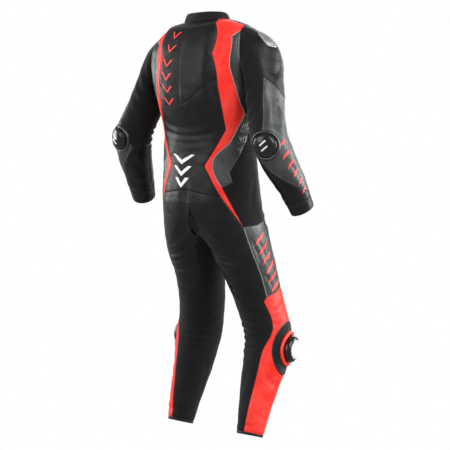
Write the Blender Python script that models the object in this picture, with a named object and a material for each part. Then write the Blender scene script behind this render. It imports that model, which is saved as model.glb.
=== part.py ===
"""One-piece leather race suit for motorcycling, standing open in the shape it is worn in.

The suit is described by four smooth surfaces: the torso, the collar, a sleeve and a leg. Each runs
"around" the body and "down" it, so a point on a surface is a pair (around, down). On the torso, around
goes from 0 at the front over 0.25 at the wearer's left side to 0.5 at the spine, and down is in metres
from the neck seam. Panels are cut out of the surfaces along named seams, as a maker cuts leather.

Units are metres, +Z is up, the wearer faces -Y, and the origin is level with the neck seam at the back.
"""
from math import cos, pi, sin

import bmesh
import bpy
import numpy as np
from mathutils import Vector
from mathutils.geometry import delaunay_2d_cdt

# Driving sizes
LEATHER = 0.0018
STRETCH = 0.0015
COLLAR_WALL = 0.0030
SEAM_GAP = 0.0003
ZIP_HALF = 0.010
ZIP_END = 0.62
HIP_DOWN = 0.64
CUFF_DOWN = 0.465
SLEEVE_END = 0.500
HEM_DOWN = 1.402
LEG_END = 1.410
COLLAR_RISE = 0.038

# Pieces that lie on the panels: where their middle is on the surface, their half width and half length in
# metres, and how high they stand. LIE is how far each one clears the faceted outer face of its panel.
LIE = 0.0010
PLATE_AT, PLATE_RADII, PLATE_HEIGHT = (-0.01, 0.047), np.array([0.024, 0.034]), 0.0030
ELBOW_AT, ELBOW_RADII, ELBOW_HEIGHT = (0.205, 0.276), np.array([0.045, 0.048]), 0.019
ELBOW_RING_INSIDE, ELBOW_RING_HEIGHT, ELBOW_SLIDER_SHARE = 0.78, 0.0065, 0.76
FOREARM_ZIP_AT, FOREARM_ZIP_RADII, FOREARM_ZIP_HEIGHT = (0.55, 0.375), np.array([0.006, 0.075]), 0.0016
KNEE_AT, KNEE_PATCH_RADII, KNEE_PATCH_HEIGHT = (0.225, 1.125), np.array([0.072, 0.095]), 0.0020
KNEE_BASE_RADII, KNEE_BASE_INSIDE, KNEE_BASE_HEIGHT = np.array([0.042, 0.058]), 0.80, 0.010
KNEE_SLIDER_SHARE, KNEE_HEIGHT = 0.785, 0.034
ZIP_SLIDER_AT, ZIP_SLIDER_RADII, ZIP_SLIDER_HEIGHT = (0.0, 0.022), np.array([0.006, 0.010]), 0.0045

# Distances between mesh points along the seams, and over the panels
SEAM_STEP, COLLAR_STEP = 0.032, 0.030
TORSO_STEP, LEG_STEP, SLEEVE_STEP = 0.044, 0.040, 0.034

# Torso sections, from the neck seam to the hips
TORSO_COLUMNS = ("down", "side_y", "side_z", "half", "front_y", "front_z", "back_y", "back_z", "square")
TORSO = (
    (0.00, 0.010, 0.004, 0.080, -0.070, -0.050, 0.074, 0.000, 2.0),
    (0.05, 0.010, -0.010, 0.124, -0.096, -0.078, 0.100, -0.026, 2.2),
    (0.10, 0.008, -0.028, 0.164, -0.113, -0.112, 0.119, -0.070, 2.3),
    (0.15, 0.005, -0.060, 0.194, -0.126, -0.150, 0.132, -0.122, 2.4),
    (0.20, 0.003, -0.112, 0.203, -0.134, -0.190, 0.138, -0.175, 2.4),
    (0.26, 0.000, -0.180, 0.197, -0.138, -0.238, 0.136, -0.230, 2.3),
    (0.32, -0.002, -0.250, 0.183, -0.136, -0.290, 0.130, -0.285, 2.3),
    (0.40, -0.006, -0.340, 0.165, -0.130, -0.360, 0.118, -0.355, 2.2),
    (0.48, -0.008, -0.425, 0.163, -0.128, -0.430, 0.117, -0.425, 2.2),
    (0.56, -0.010, -0.505, 0.167, -0.138, -0.505, 0.122, -0.505, 2.2),
    (0.64, -0.017, -0.585, 0.172, -0.150, -0.585, 0.124, -0.585, 2.2),
)
# The padded hump between the shoulder blades
HUMP_HEIGHT, HUMP_HALF, HUMP_EDGE = 0.022, 0.085, 0.045
HUMP_START, HUMP_FULL, HUMP_FADE, HUMP_END = 0.0, 0.05, 0.26, 0.42
# The crotch curve in the middle plane, from the back to the front, as (y, z)
CROTCH = ((0.118, -0.640), (0.098, -0.682), (0.055, -0.708), (-0.005, -0.716), (-0.070, -0.703), (-0.130, -0.652))
# Sections of the left leg below the hips
LEG_COLUMNS = ("down", "x", "y", "z", "wide", "deep")
LEG = (
    (0.78, 0.099, -0.052, -0.740, 0.087, 0.109),
    (0.86, 0.108, -0.086, -0.822, 0.083, 0.096),
    (0.94, 0.119, -0.111, -0.900, 0.077, 0.088),
    (1.02, 0.133, -0.132, -0.985, 0.074, 0.084),
    (1.09, 0.143, -0.138, -1.055, 0.072, 0.083),
    (1.16, 0.147, -0.120, -1.125, 0.069, 0.079),
    (1.24, 0.148, -0.092, -1.205, 0.062, 0.069),
    (1.32, 0.149, -0.060, -1.285, 0.053, 0.057),
    (1.41, 0.150, -0.030, -1.375, 0.043, 0.045),
)
# A leg is a full tube: around runs on past the spine, along the crotch, and is back at the front after LEG_AROUND
LEG_TURN, LEG_START = 1.4, 0.10
LEG_AROUND = 1 / LEG_TURN
# The armhole on the torso
ARMHOLE_AROUND, ARMHOLE_DOWN, ARMHOLE_HALF_AROUND, ARMHOLE_HALF_DOWN = 0.25, 0.19, 0.078, 0.095
# Sections of the left sleeve; around is 0 on top and outside, 0.25 behind, 0.5 under the arm
ARM_COLUMNS = ("down", "x", "y", "z", "wide", "deep", "tilt")
ARM = (
    (0.05, 0.222, 0.006, -0.155, 0.077, 0.076, 1.33),
    (0.11, 0.238, 0.014, -0.226, 0.059, 0.073, 0.67),
    (0.18, 0.257, 0.032, -0.295, 0.056, 0.065, 0.36),
    (0.26, 0.281, 0.048, -0.368, 0.058, 0.062, 0.28),
    (0.33, 0.302, 0.028, -0.440, 0.056, 0.058, 0.24),
    (0.41, 0.321, -0.017, -0.517, 0.047, 0.050, 0.22),
    (0.50, 0.336, -0.060, -0.604, 0.038, 0.040, 0.21),
)
# The suit hangs with its right shoulder a little higher
ROLL, ROLL_START, ROLL_FULL = 0.075, -0.32, -0.10

LEFT, RIGHT = 1, -1
SIDE_NAMES = {LEFT: "left", RIGHT: "right"}


# Curves and surfaces

def through(knots, values, at):
    """A smooth curve through rows of values, read at each place in at."""
    knots, values = np.asarray(knots, float), np.asarray(values, float)
    slope = np.gradient(values, knots, axis=0)
    i = np.clip(np.searchsorted(knots, at, side="right") - 1, 0, len(knots) - 2)
    place_in_rows = (i, np.arange(len(at))) if values.ndim == 3 else (i,)
    next_in_rows = (i + 1, *place_in_rows[1:])
    span = (knots[i + 1] - knots[i])[:, None]
    s = (at - knots[i])[:, None] / span
    return ((1 + 2 * s) * (1 - s) ** 2 * values[place_in_rows] + s * (1 - s) ** 2 * span * slope[place_in_rows]
            + s * s * (3 - 2 * s) * values[next_in_rows] - s * s * (1 - s) * span * slope[next_in_rows])


def ease(value, start, end):
    """0 before the start and 1 after the end, with a smooth rise between them."""
    t = np.clip((value - start) / (end - start), 0, 1)
    return t * t * (3 - 2 * t)


def torso(around, down):
    """The trunk from the neck seam to the hips; its sections are rounder or squarer ovals."""
    rows = np.array(TORSO)
    side_y, side_z, half, front_y, front_z, back_y, back_z, square = through(rows[:, 0], rows[:, 1:], down).T
    sideways, backward = np.sin(2 * pi * around), -np.cos(2 * pi * around)
    x = half * np.sign(sideways) * np.abs(sideways) ** (2 / square)
    y = side_y + np.abs(backward) ** (2 / square) * (np.where(backward < 0, front_y, back_y) - side_y)
    z = side_z + backward ** 2 * (np.where(backward < 0, front_z, back_z) - side_z)
    on_hump = 1 - ease(np.abs(x), HUMP_HALF, HUMP_HALF + HUMP_EDGE)
    length_of_hump = ease(down, HUMP_START, HUMP_FULL) * (1 - ease(down, HUMP_FADE, HUMP_END))
    y = y + (backward > 0) * HUMP_HEIGHT * on_hump * length_of_hump
    return np.stack([x, y, z], -1)


def collar(around, down):
    """The stand-up collar; down is negative, and the neck seam is at 0."""
    base = torso(around, np.zeros_like(down))
    rise = -down / COLLAR_RISE
    narrow = 1 - 0.20 * np.sign(rise) * np.abs(rise) ** 1.3
    axis = np.array([0, 0.004, 0])
    top = axis + (base - axis) * np.stack([narrow, narrow, np.ones_like(narrow)], -1)
    top[:, 2] += rise * COLLAR_RISE * (0.88 - 0.12 * np.cos(2 * pi * around))
    return top


def section_axes(centres, knots, reference):
    """Two axes across a limb at each centre: the one nearest to the reference, and the one beside it."""
    along = np.gradient(centres, knots, axis=0)
    along /= np.linalg.norm(along, axis=1)[:, None]
    first = np.asarray(reference, float) - (along @ np.asarray(reference, float))[:, None] * along
    first /= np.linalg.norm(first, axis=1)[:, None]
    return first, np.cross(first, along)


def leg(around, down):
    """The left leg, whose first ring runs along the hips and then under the crotch."""
    rows = np.array(LEG)
    knots = np.concatenate([[HIP_DOWN], rows[:, 0]])
    hip_centre = (0.092, 0.0, -0.6)
    forward, outward = section_axes(np.vstack([hip_centre, rows[:, 1:4]]), knots, (0, -1, 0))
    turn = 2 * pi * (around * LEG_TURN - LEG_START)
    rings = [row[1:4] + row[4] * np.sin(turn)[:, None] * o + row[5] * np.cos(turn)[:, None] * f
             for row, f, o in zip(rows, forward[1:], outward[1:])]
    wrapped = np.mod(around, LEG_AROUND)
    on_torso = np.clip(wrapped, 0, 0.5)
    hip = torso(on_torso, np.full_like(around, HIP_DOWN))
    above = torso(on_torso, np.full_like(around, HIP_DOWN - 0.06))
    front, back = torso(np.array([0.0, 0.5]), np.full(2, HIP_DOWN))
    curve = np.array([back, *[(0, y, z) for y, z in CROTCH], front])
    share = np.concatenate([[0], np.cumsum(np.linalg.norm(np.diff(curve, axis=0), axis=1))])
    under = through(share / share[-1], curve, np.clip((wrapped - 0.5) / (LEG_AROUND - 0.5), 0, 1))
    below_torso = (wrapped > 0.5)[:, None]
    first = np.where(below_torso, under, hip)
    beyond = np.minimum(wrapped - 0.5, LEG_AROUND - wrapped)
    crossing = ease(beyond, -0.01, 0.05)[:, None]
    mirrored = rings[0] * np.array([-1, 1, 1])
    lead_in = ((first + above - hip) * (1 - crossing)
               + (first + (mirrored - first) * 0.06 / (LEG[0][0] - HIP_DOWN)) * crossing)
    return through(np.concatenate([[HIP_DOWN - 0.06], knots]), np.stack([lead_in, first, *rings]), down)


def body(around, down):
    """Torso and leg as one surface."""
    beside_torso = (around > 0.5) | (around < 0)
    on_leg = (down > HIP_DOWN) | beside_torso & (down > HIP_DOWN - 0.01)
    points = torso(around, np.minimum(down, HIP_DOWN))
    if on_leg.any():
        points[on_leg] = leg(around[on_leg], down[on_leg])
    return points


def armhole(around, size=1.0):
    """The armhole seam as a place on the torso, for each place around the sleeve."""
    turn = 2 * pi * around
    return (ARMHOLE_AROUND + size * ARMHOLE_HALF_AROUND * np.sin(turn),
            ARMHOLE_DOWN - size * ARMHOLE_HALF_DOWN * np.cos(turn))


def sleeve(around, down):
    """The left sleeve; down is in metres from the armhole seam, and a little below 0 it runs into the torso."""
    rows = np.array(ARM)
    along = np.gradient(rows[:, 1:4], rows[:, 0], axis=0)
    turn = 2 * pi * around
    rings = []
    for row, direction in zip(rows, along):
        outward = np.array([cos(row[6]), 0, sin(row[6])])
        backward = np.cross(outward, direction)
        backward /= np.linalg.norm(backward)
        rings.append(row[1:4] + row[4] * np.cos(turn)[:, None] * outward + row[5] * np.sin(turn)[:, None] * backward)
    seam = torso(*armhole(around))
    inside = torso(*armhole(around, 1.3))
    under = ease(-np.cos(turn), -0.2, 0.8)[:, None]
    lead_in = seam + (inside - seam) * (1 - under) - 0.03 * under * (rings[0] - seam) / rows[0, 0]
    return through(np.concatenate([[-0.03, 0], rows[:, 0]]), np.stack([lead_in, seam, *rings]), down)


def place(points, side):
    """Mirrors points of the left half for the right one, and hangs them with the shoulders rolled."""
    placed = points * np.array([side, 1, 1])
    placed[:, 2] -= ROLL * placed[:, 0] * ease(placed[:, 2], ROLL_START, ROLL_FULL)
    return placed


def outward_of(surface, around, down):
    """Unit normals of a surface, pointing away from the body."""
    h = 0.002
    across = surface(around + h, down) - surface(around - h, down)
    along = surface(around, down + h) - surface(around, down - h)
    normal = np.cross(along, across)
    return normal / np.linalg.norm(normal, axis=1)[:, None]


def scales(surface, around, down):
    """Metres for each unit of around and of down, at one point."""
    h = 0.002
    a, d = np.array([around, around, around + h, around - h]), np.array([down + h, down - h, down, down])
    points = surface(a, d)
    return np.linalg.norm(points[2] - points[3]) / (2 * h), np.linalg.norm(points[0] - points[1]) / (2 * h)


def zip_edge(down):
    """Around at which the torso is ZIP_HALF from the middle of the front."""
    rows = np.array(TORSO)
    half, square = through(rows[:, 0], rows[:, [3, 8]], np.array([down]))[0]
    return float(np.arcsin((ZIP_HALF / half) ** (square / 2)) / (2 * pi))


# Seams: the named points of the pattern, on the torso and the leg

BODY_POINTS = {
    "neck_zip": (zip_edge(0), 0), "neck_shoulder": (0.262, 0), "neck_red": (0.335, 0), "neck_spine": (0.5, 0),
    "zip_chest": (zip_edge(0.2), 0.2), "zip_waist": (zip_edge(0.42), 0.42), "zip_end": (zip_edge(ZIP_END), ZIP_END),
    "zip_foot": (0, ZIP_END), "front_hip": (0, HIP_DOWN),
    # the inner edge of the red panel, from the neck to its tip on the hip
    "red_corner": (0.416, 0.154), "red_yoke": (0.404, 0.230), "red_blade": (0.396, 0.275),
    "red_rib": (0.361, 0.401), "red_waist": (0.439, 0.520), "red_seat": (0.382, 0.618), "red_tip": (0.314, 0.705),
    # its outer edge
    "grey_top": (0.345, 0.127), "grey_blade": (0.365, 0.196), "grey_low": (0.356, 0.241),
    "grey_rib": (0.317, 0.319), "grey_tip": (0.284, 0.362), "rib_mid": (0.345, 0.444), "rib_in": (0.397, 0.483),
    "rib_waist": (0.411, 0.516), "rib_out": (0.402, 0.550), "rib_end": (0.377, 0.589),
    # the outer edge of the ribbed waist panel
    "rib_top": (0.264, 0.352), "rib_side": (0.249, 0.409), "rib_back": (0.301, 0.484),
    "rib_notch": (0.346, 0.541), "rib_foot": (0.335, 0.571),
    "yoke_spine": (0.5, 0.300), "seat_spine": (0.5, 0.600), "back_hip": (0.5, HIP_DOWN),
    # the side of the trunk
    "side_chest": (0.205, 0.33), "side_waist": (0.19, 0.45), "side_hip": (0.20, 0.57),
    "thigh_top": (0.252, 0.711), "thigh_front": (0.205, 0.712), "groin": (0.12, 0.700), "groin_in": (0.05, 0.668),
    # the leg
    "crotch_back": (0.575, HIP_DOWN), "crotch_front": (-0.050, HIP_DOWN),
    "thigh_in": (0.535, 0.773), "thigh_in_low": (0.518, 0.858), "ham_in": (0.485, 0.905), "ham": (0.428, 0.940),
    "ham_out": (0.366, 0.953), "knee_out": (0.326, 0.957), "thigh_out": (0.305, 0.790), "grey_foot": (0.306, 0.947),
    "grey_mid": (0.225, 0.946), "grey_front": (0.160, 0.945), "thigh_side": (0.180, 0.830),
    "inner_thigh": (-0.047, 0.800), "inner_knee": (-0.045, 0.955), "inner_shin": (-0.042, 1.10),
    "inner_calf": (-0.049, 1.25), "inner_hem": (-0.054, HEM_DOWN),
    "red_above_knee": (0.314, 1.045), "red_behind_knee": (0.367, 1.138), "red_calf": (0.384, 1.240),
    "red_hem": (0.416, HEM_DOWN), "red_front_knee": (0.100, 1.040), "red_front_shin": (0.065, 1.140),
    "red_front_calf": (0.060, 1.280), "red_front_hem": (0.070, HEM_DOWN),
}
# The left half of the back differs a little in how it lies
LEFT_BODY_POINTS = {
    "red_corner": (0.450, 0.150), "red_yoke": (0.440, 0.230), "red_blade": (0.424, 0.290),
    "grey_top": (0.375, 0.120), "grey_blade": (0.407, 0.182), "grey_low": (0.396, 0.245), "grey_rib": (0.350, 0.320),
}
# Points of the armhole, shared by the panels on both sides of it, by how far around the sleeve they are
ARMHOLE_POINTS = {"arm_front": -0.14, "arm_shoulder": 0.025, "arm_grey": 0.11, "arm_flank": 0.385, "arm_side": 0.56,
                  "arm_front_again": 0.86}
SLEEVE_POINTS = {
    "cap_back": (0.123, 0.056), "cap_low": (0.118, 0.107), "cap_edge": (0.0, 0.135), "cap_front": (-0.14, 0.152),
    "upper_back": (0.143, 0.140), "above_elbow": (0.195, 0.239), "elbow_back": (0.300, 0.266),
    "elbow_in": (0.360, 0.290), "under_arm": (0.420, 0.140), "under_elbow": (0.430, 0.285),
    "grey_elbow_low": (0.270, 0.338), "grey_forearm": (0.125, 0.402), "grey_point": (0.0, 0.440),
    "grey_tip": (-0.060, 0.450), "grey_bend": (-0.150, 0.300),
    "inner_elbow": (0.550, 0.290), "front_elbow": (0.850, 0.300),
    "inner_cuff": (0.550, CUFF_DOWN), "outer_cuff": (-0.060, CUFF_DOWN),
    "under_arm_front": (0.86, 0.152), "front_grey_tip": (0.940, 0.450), "front_cuff": (0.940, CUFF_DOWN),
}
# Seams drawn as one smooth line through these points; every other edge is straight between its ends
BODY_CURVES = (
    ("red_corner", "red_yoke", "red_blade", "red_rib"),
    ("red_waist", "red_seat", "red_tip"),
    ("grey_top", "grey_blade", "grey_low", "grey_rib", "grey_tip"),
    ("rib_mid", "rib_in", "rib_waist", "rib_out", "rib_end"),
    ("rib_top", "rib_side", "rib_back", "rib_notch"),
    ("neck_zip", "zip_chest", "zip_waist", "zip_end"),
    ("arm_side", "side_chest", "side_waist", "side_hip", "thigh_front"),
    ("thigh_front", "groin", "groin_in", "front_hip"),
    ("crotch_back", "thigh_in", "thigh_in_low", "ham_in", "ham", "ham_out", "knee_out"),
    ("red_tip", "thigh_out", "grey_foot"),
    ("thigh_front", "thigh_side", "grey_front"),
    ("knee_out", "red_above_knee", "red_behind_knee", "red_calf", "red_hem"),
    ("grey_front", "red_front_knee", "red_front_shin", "red_front_calf", "red_front_hem"),
    ("crotch_front", "inner_thigh", "inner_knee", "inner_shin", "inner_calf", "inner_hem"),
)
SLEEVE_CURVES = (
    ("arm_grey", "cap_back", "cap_low"),
    ("cap_low", "cap_edge", "cap_front"),
    ("cap_low", "upper_back", "above_elbow", "elbow_back"),
    ("arm_flank", "under_arm", "under_elbow"),
    ("elbow_in", "grey_elbow_low", "grey_forearm", "grey_point", "grey_tip"),
    ("cap_front", "grey_bend", "grey_tip"),
    ("under_arm_front", "front_elbow", "front_grey_tip"),
)

# Materials: colour, roughness and metallic value
MATERIALS = {
    "black_leather": ((0.013, 0.013, 0.014), 0.42, 0.0),
    "black_stretch": ((0.006, 0.006, 0.008), 0.85, 0.0),
    "red_leather": ((0.90, 0.060, 0.040), 0.45, 0.0),
    "grey_leather": ((0.100, 0.104, 0.104), 0.35, 0.2),
    "collar_knit": ((0.010, 0.010, 0.011), 0.80, 0.0),
    "zip_metal": ((0.55, 0.55, 0.56), 0.30, 1.0),
    "plate_metal": ((0.50, 0.51, 0.52), 0.30, 1.0),
    "hook_pile": ((0.008, 0.008, 0.008), 0.95, 0.0),
    "slider_black": ((0.012, 0.012, 0.012), 0.25, 0.0),
    "slider_red": ((0.80, 0.050, 0.035), 0.35, 0.0),
}

# The panels of one half: name, outline, material, wall, spacing of the mesh
BODY_PANELS = (
    ("back_yoke", ("neck_red", "neck_spine", "yoke_spine", "red_yoke", "red_corner"),
     "black_leather", LEATHER, TORSO_STEP),
    ("back_red", ("neck_shoulder", "neck_red", "red_corner", "red_yoke", "red_blade", "red_rib", "red_waist",
                  "red_seat", "red_tip", "rib_end", "rib_out", "rib_waist", "rib_in", "rib_mid", "grey_tip",
                  "grey_rib", "grey_low", "grey_blade", "grey_top", "arm_grey", "arm_shoulder"),
     "red_leather", LEATHER, LEG_STEP),
    ("back_blade_rib", ("grey_top", "grey_blade", "grey_low", "grey_rib", "grey_tip", "arm_flank", "arm_grey"),
     "grey_leather", LEATHER, LEG_STEP),
    ("waist_rib", ("rib_top", "grey_tip", "rib_mid", "rib_in", "rib_waist", "rib_out", "rib_end", "rib_foot",
                   "rib_notch", "rib_back", "rib_side"), "grey_leather", LEATHER, LEG_STEP),
    ("flank", ("arm_flank", "grey_tip", "rib_top", "rib_side", "rib_back", "rib_notch", "rib_foot", "rib_end",
               "red_tip", "thigh_top", "thigh_front", "side_hip", "side_waist", "side_chest", "arm_side"),
     "black_stretch", STRETCH, TORSO_STEP),
    ("front", ("neck_shoulder", "arm_shoulder", "arm_front", "arm_side", "side_chest", "side_waist", "side_hip",
               "thigh_front", "groin", "groin_in", "front_hip", "zip_foot", "zip_end", "zip_waist", "zip_chest",
               "neck_zip"), "black_leather", LEATHER, TORSO_STEP),
    ("thigh_back", ("seat_spine", "back_hip", "crotch_back", "thigh_in", "thigh_in_low", "ham_in", "ham",
                    "ham_out", "knee_out", "grey_foot", "thigh_out", "red_tip", "red_seat"),
     "black_leather", LEATHER, TORSO_STEP),
    ("thigh_grey", ("red_tip", "thigh_out", "grey_foot", "grey_mid", "grey_front", "thigh_side", "thigh_front",
                    "thigh_top"), "grey_leather", LEATHER, LEG_STEP),
    ("thigh_front", ("front_hip", "groin_in", "groin", "thigh_front", "thigh_side", "grey_front", "inner_knee",
                     "inner_thigh", "crotch_front"), "black_leather", LEATHER, TORSO_STEP),
    ("inner_leg", ("crotch_back", "crotch_front", "inner_thigh", "inner_knee", "inner_shin", "inner_calf",
                   "inner_hem", "red_hem", "red_calf", "red_behind_knee", "red_above_knee", "knee_out",
                   "ham_out", "ham", "ham_in", "thigh_in_low", "thigh_in"), "black_stretch", STRETCH, LEG_STEP),
    ("leg_red", ("knee_out", "red_above_knee", "red_behind_knee", "red_calf", "red_hem", "red_front_hem",
                 "red_front_calf", "red_front_shin", "red_front_knee", "grey_front", "grey_mid", "grey_foot"),
     "red_leather", LEATHER, LEG_STEP),
    ("shin", ("grey_front", "red_front_knee", "red_front_shin", "red_front_calf", "red_front_hem", "inner_hem",
              "inner_calf", "inner_shin", "inner_knee"), "black_leather", LEATHER, LEG_STEP),
)
SLEEVE_PANELS = (
    ("sleeve_cap", ("arm_front", "arm_shoulder", "arm_grey", "cap_back", "cap_low", "cap_edge", "cap_front"),
     "black_leather", LEATHER, SLEEVE_STEP),
    ("sleeve_back", ("arm_grey", "arm_flank", "under_arm", "under_elbow", "elbow_in", "elbow_back", "above_elbow",
                     "upper_back", "cap_low", "cap_back"), "black_stretch", STRETCH, SLEEVE_STEP),
    ("sleeve_grey", ("cap_front", "cap_edge", "cap_low", "upper_back", "above_elbow", "elbow_back", "elbow_in",
                     "grey_elbow_low", "grey_forearm", "grey_point", "grey_tip", "grey_bend"),
     "grey_leather", LEATHER, SLEEVE_STEP),
    ("sleeve_inner", ("arm_flank", "arm_side", "arm_front_again", "under_arm_front", "front_elbow", "inner_elbow",
                      "under_elbow", "under_arm"), "black_stretch", STRETCH, SLEEVE_STEP),
    ("forearm_back", ("elbow_in", "under_elbow", "inner_elbow", "inner_cuff", "outer_cuff", "grey_tip",
                      "grey_point", "grey_forearm", "grey_elbow_low"), "black_leather", LEATHER, SLEEVE_STEP),
    ("forearm_front", ("inner_elbow", "front_elbow", "front_grey_tip", "front_cuff", "inner_cuff"),
     "black_leather", LEATHER, SLEEVE_STEP),
)


# Cutting a panel

def sleeve_points():
    return SLEEVE_POINTS | {name: (around, 0.0) for name, around in ARMHOLE_POINTS.items()}


def body_points(side):
    points = BODY_POINTS | (LEFT_BODY_POINTS if side == LEFT else {})
    return points | {name: armhole(around) for name, around in ARMHOLE_POINTS.items()}


def armhole_run(start, end):
    """Places around the armhole from one named point to the next, by the shorter way."""
    start, end = ARMHOLE_POINTS[start], ARMHOLE_POINTS[end]
    end += round(start - end)
    fine = place(torso(*armhole(np.linspace(start, end, 20))), LEFT)
    count = max(1, round(np.linalg.norm(np.diff(fine, axis=0), axis=1).sum() / SEAM_STEP))
    return np.linspace(start, end, count, endpoint=False)


def edge(start, end, points, curves, surface):
    """Places along the edge between two named points, without the last."""
    line = np.array([points[start], points[end]], float)
    share = np.linspace(0, 1, 20)
    fine = line[0] + share[:, None] * (line[1] - line[0])
    knots = None
    for curve in curves:
        for first, second in zip(curve, curve[1:]):
            if {start, end} == {first, second}:
                shape = np.array([points[name] for name in curve], float)
                knots = curve.index(start), curve.index(end)
                fine = through(np.arange(len(curve)), shape, knots[0] + share * (knots[1] - knots[0]))
    count = max(1, round(np.linalg.norm(np.diff(surface(*fine.T), axis=0), axis=1).sum() / SEAM_STEP))
    share = np.linspace(0, 1, count, endpoint=False)
    if knots is None:
        return line[0] + share[:, None] * (line[1] - line[0])
    return through(np.arange(len(shape)), shape, knots[0] + share * (knots[1] - knots[0]))


def outline_of(names, points, curves, surface):
    """The outline as places on the surface, and for each whether the armhole or the neck seam runs there."""
    places, arms = [], []
    for start, end in zip(names, names[1:] + names[:1]):
        if start in ARMHOLE_POINTS and end in ARMHOLE_POINTS:
            run = armhole_run(start, end)
            places += zip(*armhole(run)) if surface is not sleeve else [(around, 0.0) for around in run]
            arms += list(run)
        else:
            run = edge(start, end, points, curves, surface)
            places += [tuple(p) for p in run]
            first_arm = ARMHOLE_POINTS.get(start, np.nan)
            arms += [first_arm] + [np.nan] * (len(run) - 1)
    return np.array(places, float), np.array(arms, float)


def into_the_wall(surface, places, arms):
    """How the inner face lies from the outer one, for a wall of 1: mitred where two surfaces meet."""
    normal = outward_of(surface, *places.T)
    other = normal.copy()
    at_arm = ~np.isnan(arms)
    if at_arm.any():
        zero = np.zeros(at_arm.sum())
        normal[at_arm] = (outward_of(sleeve, arms[at_arm], zero) if surface is sleeve
                          else outward_of(torso, *armhole(arms[at_arm])))
        other[at_arm] = (outward_of(torso, *armhole(arms[at_arm])) if surface is sleeve
                         else outward_of(sleeve, arms[at_arm], zero))
    at_neck = (places[:, 1] == 0) & (surface is not sleeve)
    if at_neck.any():
        mate = torso if surface is collar else collar
        other[at_neck] = outward_of(mate, *places[at_neck].T)
    in_middle = np.abs(surface(*places.T)[:, 0]) < 1e-6
    other[in_middle] = normal[in_middle] * (-1, 1, 1)
    between = normal + other
    between /= np.linalg.norm(between, axis=1)[:, None]
    return normal, -between / np.maximum((between * normal).sum(axis=1), 0.5)[:, None]


def shrunk(outline, normal):
    """Draws the outline in by half a seam gap, in the surface."""
    ahead = np.roll(outline, -1, axis=0) - outline
    ahead /= np.linalg.norm(ahead, axis=1)[:, None]
    behind = np.roll(ahead, 1, axis=0)
    in_ahead, in_behind = np.cross(normal, ahead), np.cross(normal, behind)
    both = in_ahead + in_behind
    open_angle = np.maximum(1 + (in_ahead * in_behind).sum(axis=1), 0.05)
    return outline + both / open_angle[:, None] * SEAM_GAP / 2


def inner_grid(outline, spacing):
    """Rows of points, each set off from the last, that lie inside the outline and clear of it."""
    low, high = outline.min(axis=0), outline.max(axis=0)
    row_height = spacing * sin(pi / 3)
    grid = []
    for row, y in enumerate(np.arange(low[1] + row_height / 2, high[1], row_height)):
        for x in np.arange(low[0] + spacing / 4 + spacing / 2 * (row % 2), high[0], spacing):
            grid.append((x, y))
    if not grid:
        return np.zeros((0, 2))
    grid, ends = np.array(grid), np.roll(outline, -1, axis=0)
    run = ends - outline
    crossed = (outline[None, :, 1] > grid[:, None, 1]) != (ends[None, :, 1] > grid[:, None, 1])
    with np.errstate(divide="ignore", invalid="ignore"):
        at = outline[None, :, 0] + (grid[:, None, 1] - outline[None, :, 1]) / run[None, :, 1] * run[None, :, 0]
    inside = (crossed & (grid[:, None, 0] < at)).sum(axis=1) % 2 == 1
    share = ((grid[:, None] - outline) * run).sum(-1) / (run ** 2).sum(-1)
    away = np.linalg.norm(grid[:, None] - outline - np.clip(share, 0, 1)[..., None] * run, axis=-1).min(axis=1)
    return grid[inside & (away > 0.45 * spacing)]


def panel(name, surface, outline, arms, wall, spacing, material, side):
    """A panel with a wall, cut from a surface along an outline."""
    middle = outline.mean(axis=0)
    metric = np.array(scales(surface, *middle))
    if np.cross(outline, np.roll(outline, -1, axis=0)).sum() < 0:
        outline, arms = outline[::-1], arms[::-1]
    flat = outline * metric
    inner = inner_grid(flat, spacing)
    count = len(flat)
    cut = delaunay_2d_cdt([Vector(p) for p in (*flat, *inner)], [], [list(range(count))], 1, 1e-7)
    cut_points, cut_faces = cut[0], cut[2]
    places = np.array([tuple(p) for p in cut_points]) / metric
    on_outline = [min(origins) if origins and min(origins) < count else None for origins in cut[3]]
    normal, inward = into_the_wall(surface, outline, arms)
    rim = shrunk(surface(*outline.T), -normal)
    outer, inner_side = surface(*places.T), -outward_of(surface, *places.T)
    for i, origin in enumerate(on_outline):
        if origin is not None:
            outer[i], inner_side[i] = rim[origin], inward[origin]
    bm = bmesh.new()
    verts = [bm.verts.new(p) for p in place(outer, side)]
    skin = [bm.faces.new([verts[i] for i in face]) for face in cut_faces]
    inner_skin = place(outer + wall * inner_side, side)
    bm.verts.index_update()
    copied = bmesh.ops.extrude_face_region(bm, geom=skin, use_keep_orig=True)
    moved = [item for item in copied["geom"] if isinstance(item, bmesh.types.BMVert)]
    nearest = {tuple(vert.co): i for i, vert in enumerate(verts)}
    for vert in moved:
        vert.co = inner_skin[nearest[tuple(vert.co)]]
    finish(bm, name, material)


def finish(bm, name, material):
    """Turns every face outward and makes the object."""
    bmesh.ops.recalc_face_normals(bm, faces=bm.faces)
    if bm.calc_volume(signed=True) < 0:
        bmesh.ops.reverse_faces(bm, faces=bm.faces)
    bmesh.ops.triangulate(bm, faces=bm.faces)
    mesh = bpy.data.meshes.new(name)
    bm.to_mesh(mesh)
    bm.free()
    mesh.materials.append(material_of(material))
    mesh.shade_smooth()
    mesh.set_sharp_from_angle(angle=pi / 5)
    part = bpy.data.objects.new(name, mesh)
    bpy.context.collection.objects.link(part)
    part.parent = bpy.data.objects["suit"]


def material_of(name):
    """The plain material of that name, made when it is first asked for."""
    if name in bpy.data.materials:
        return bpy.data.materials[name]
    colour, roughness, metallic = MATERIALS[name]
    material = bpy.data.materials.new(name)
    material.use_nodes = True
    shader = material.node_tree.nodes["Principled BSDF"]
    shader.inputs["Base Color"].default_value = (*colour, 1)
    shader.inputs["Roughness"].default_value = roughness
    shader.inputs["Metallic"].default_value = metallic
    return material


# What lies on the panels

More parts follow.
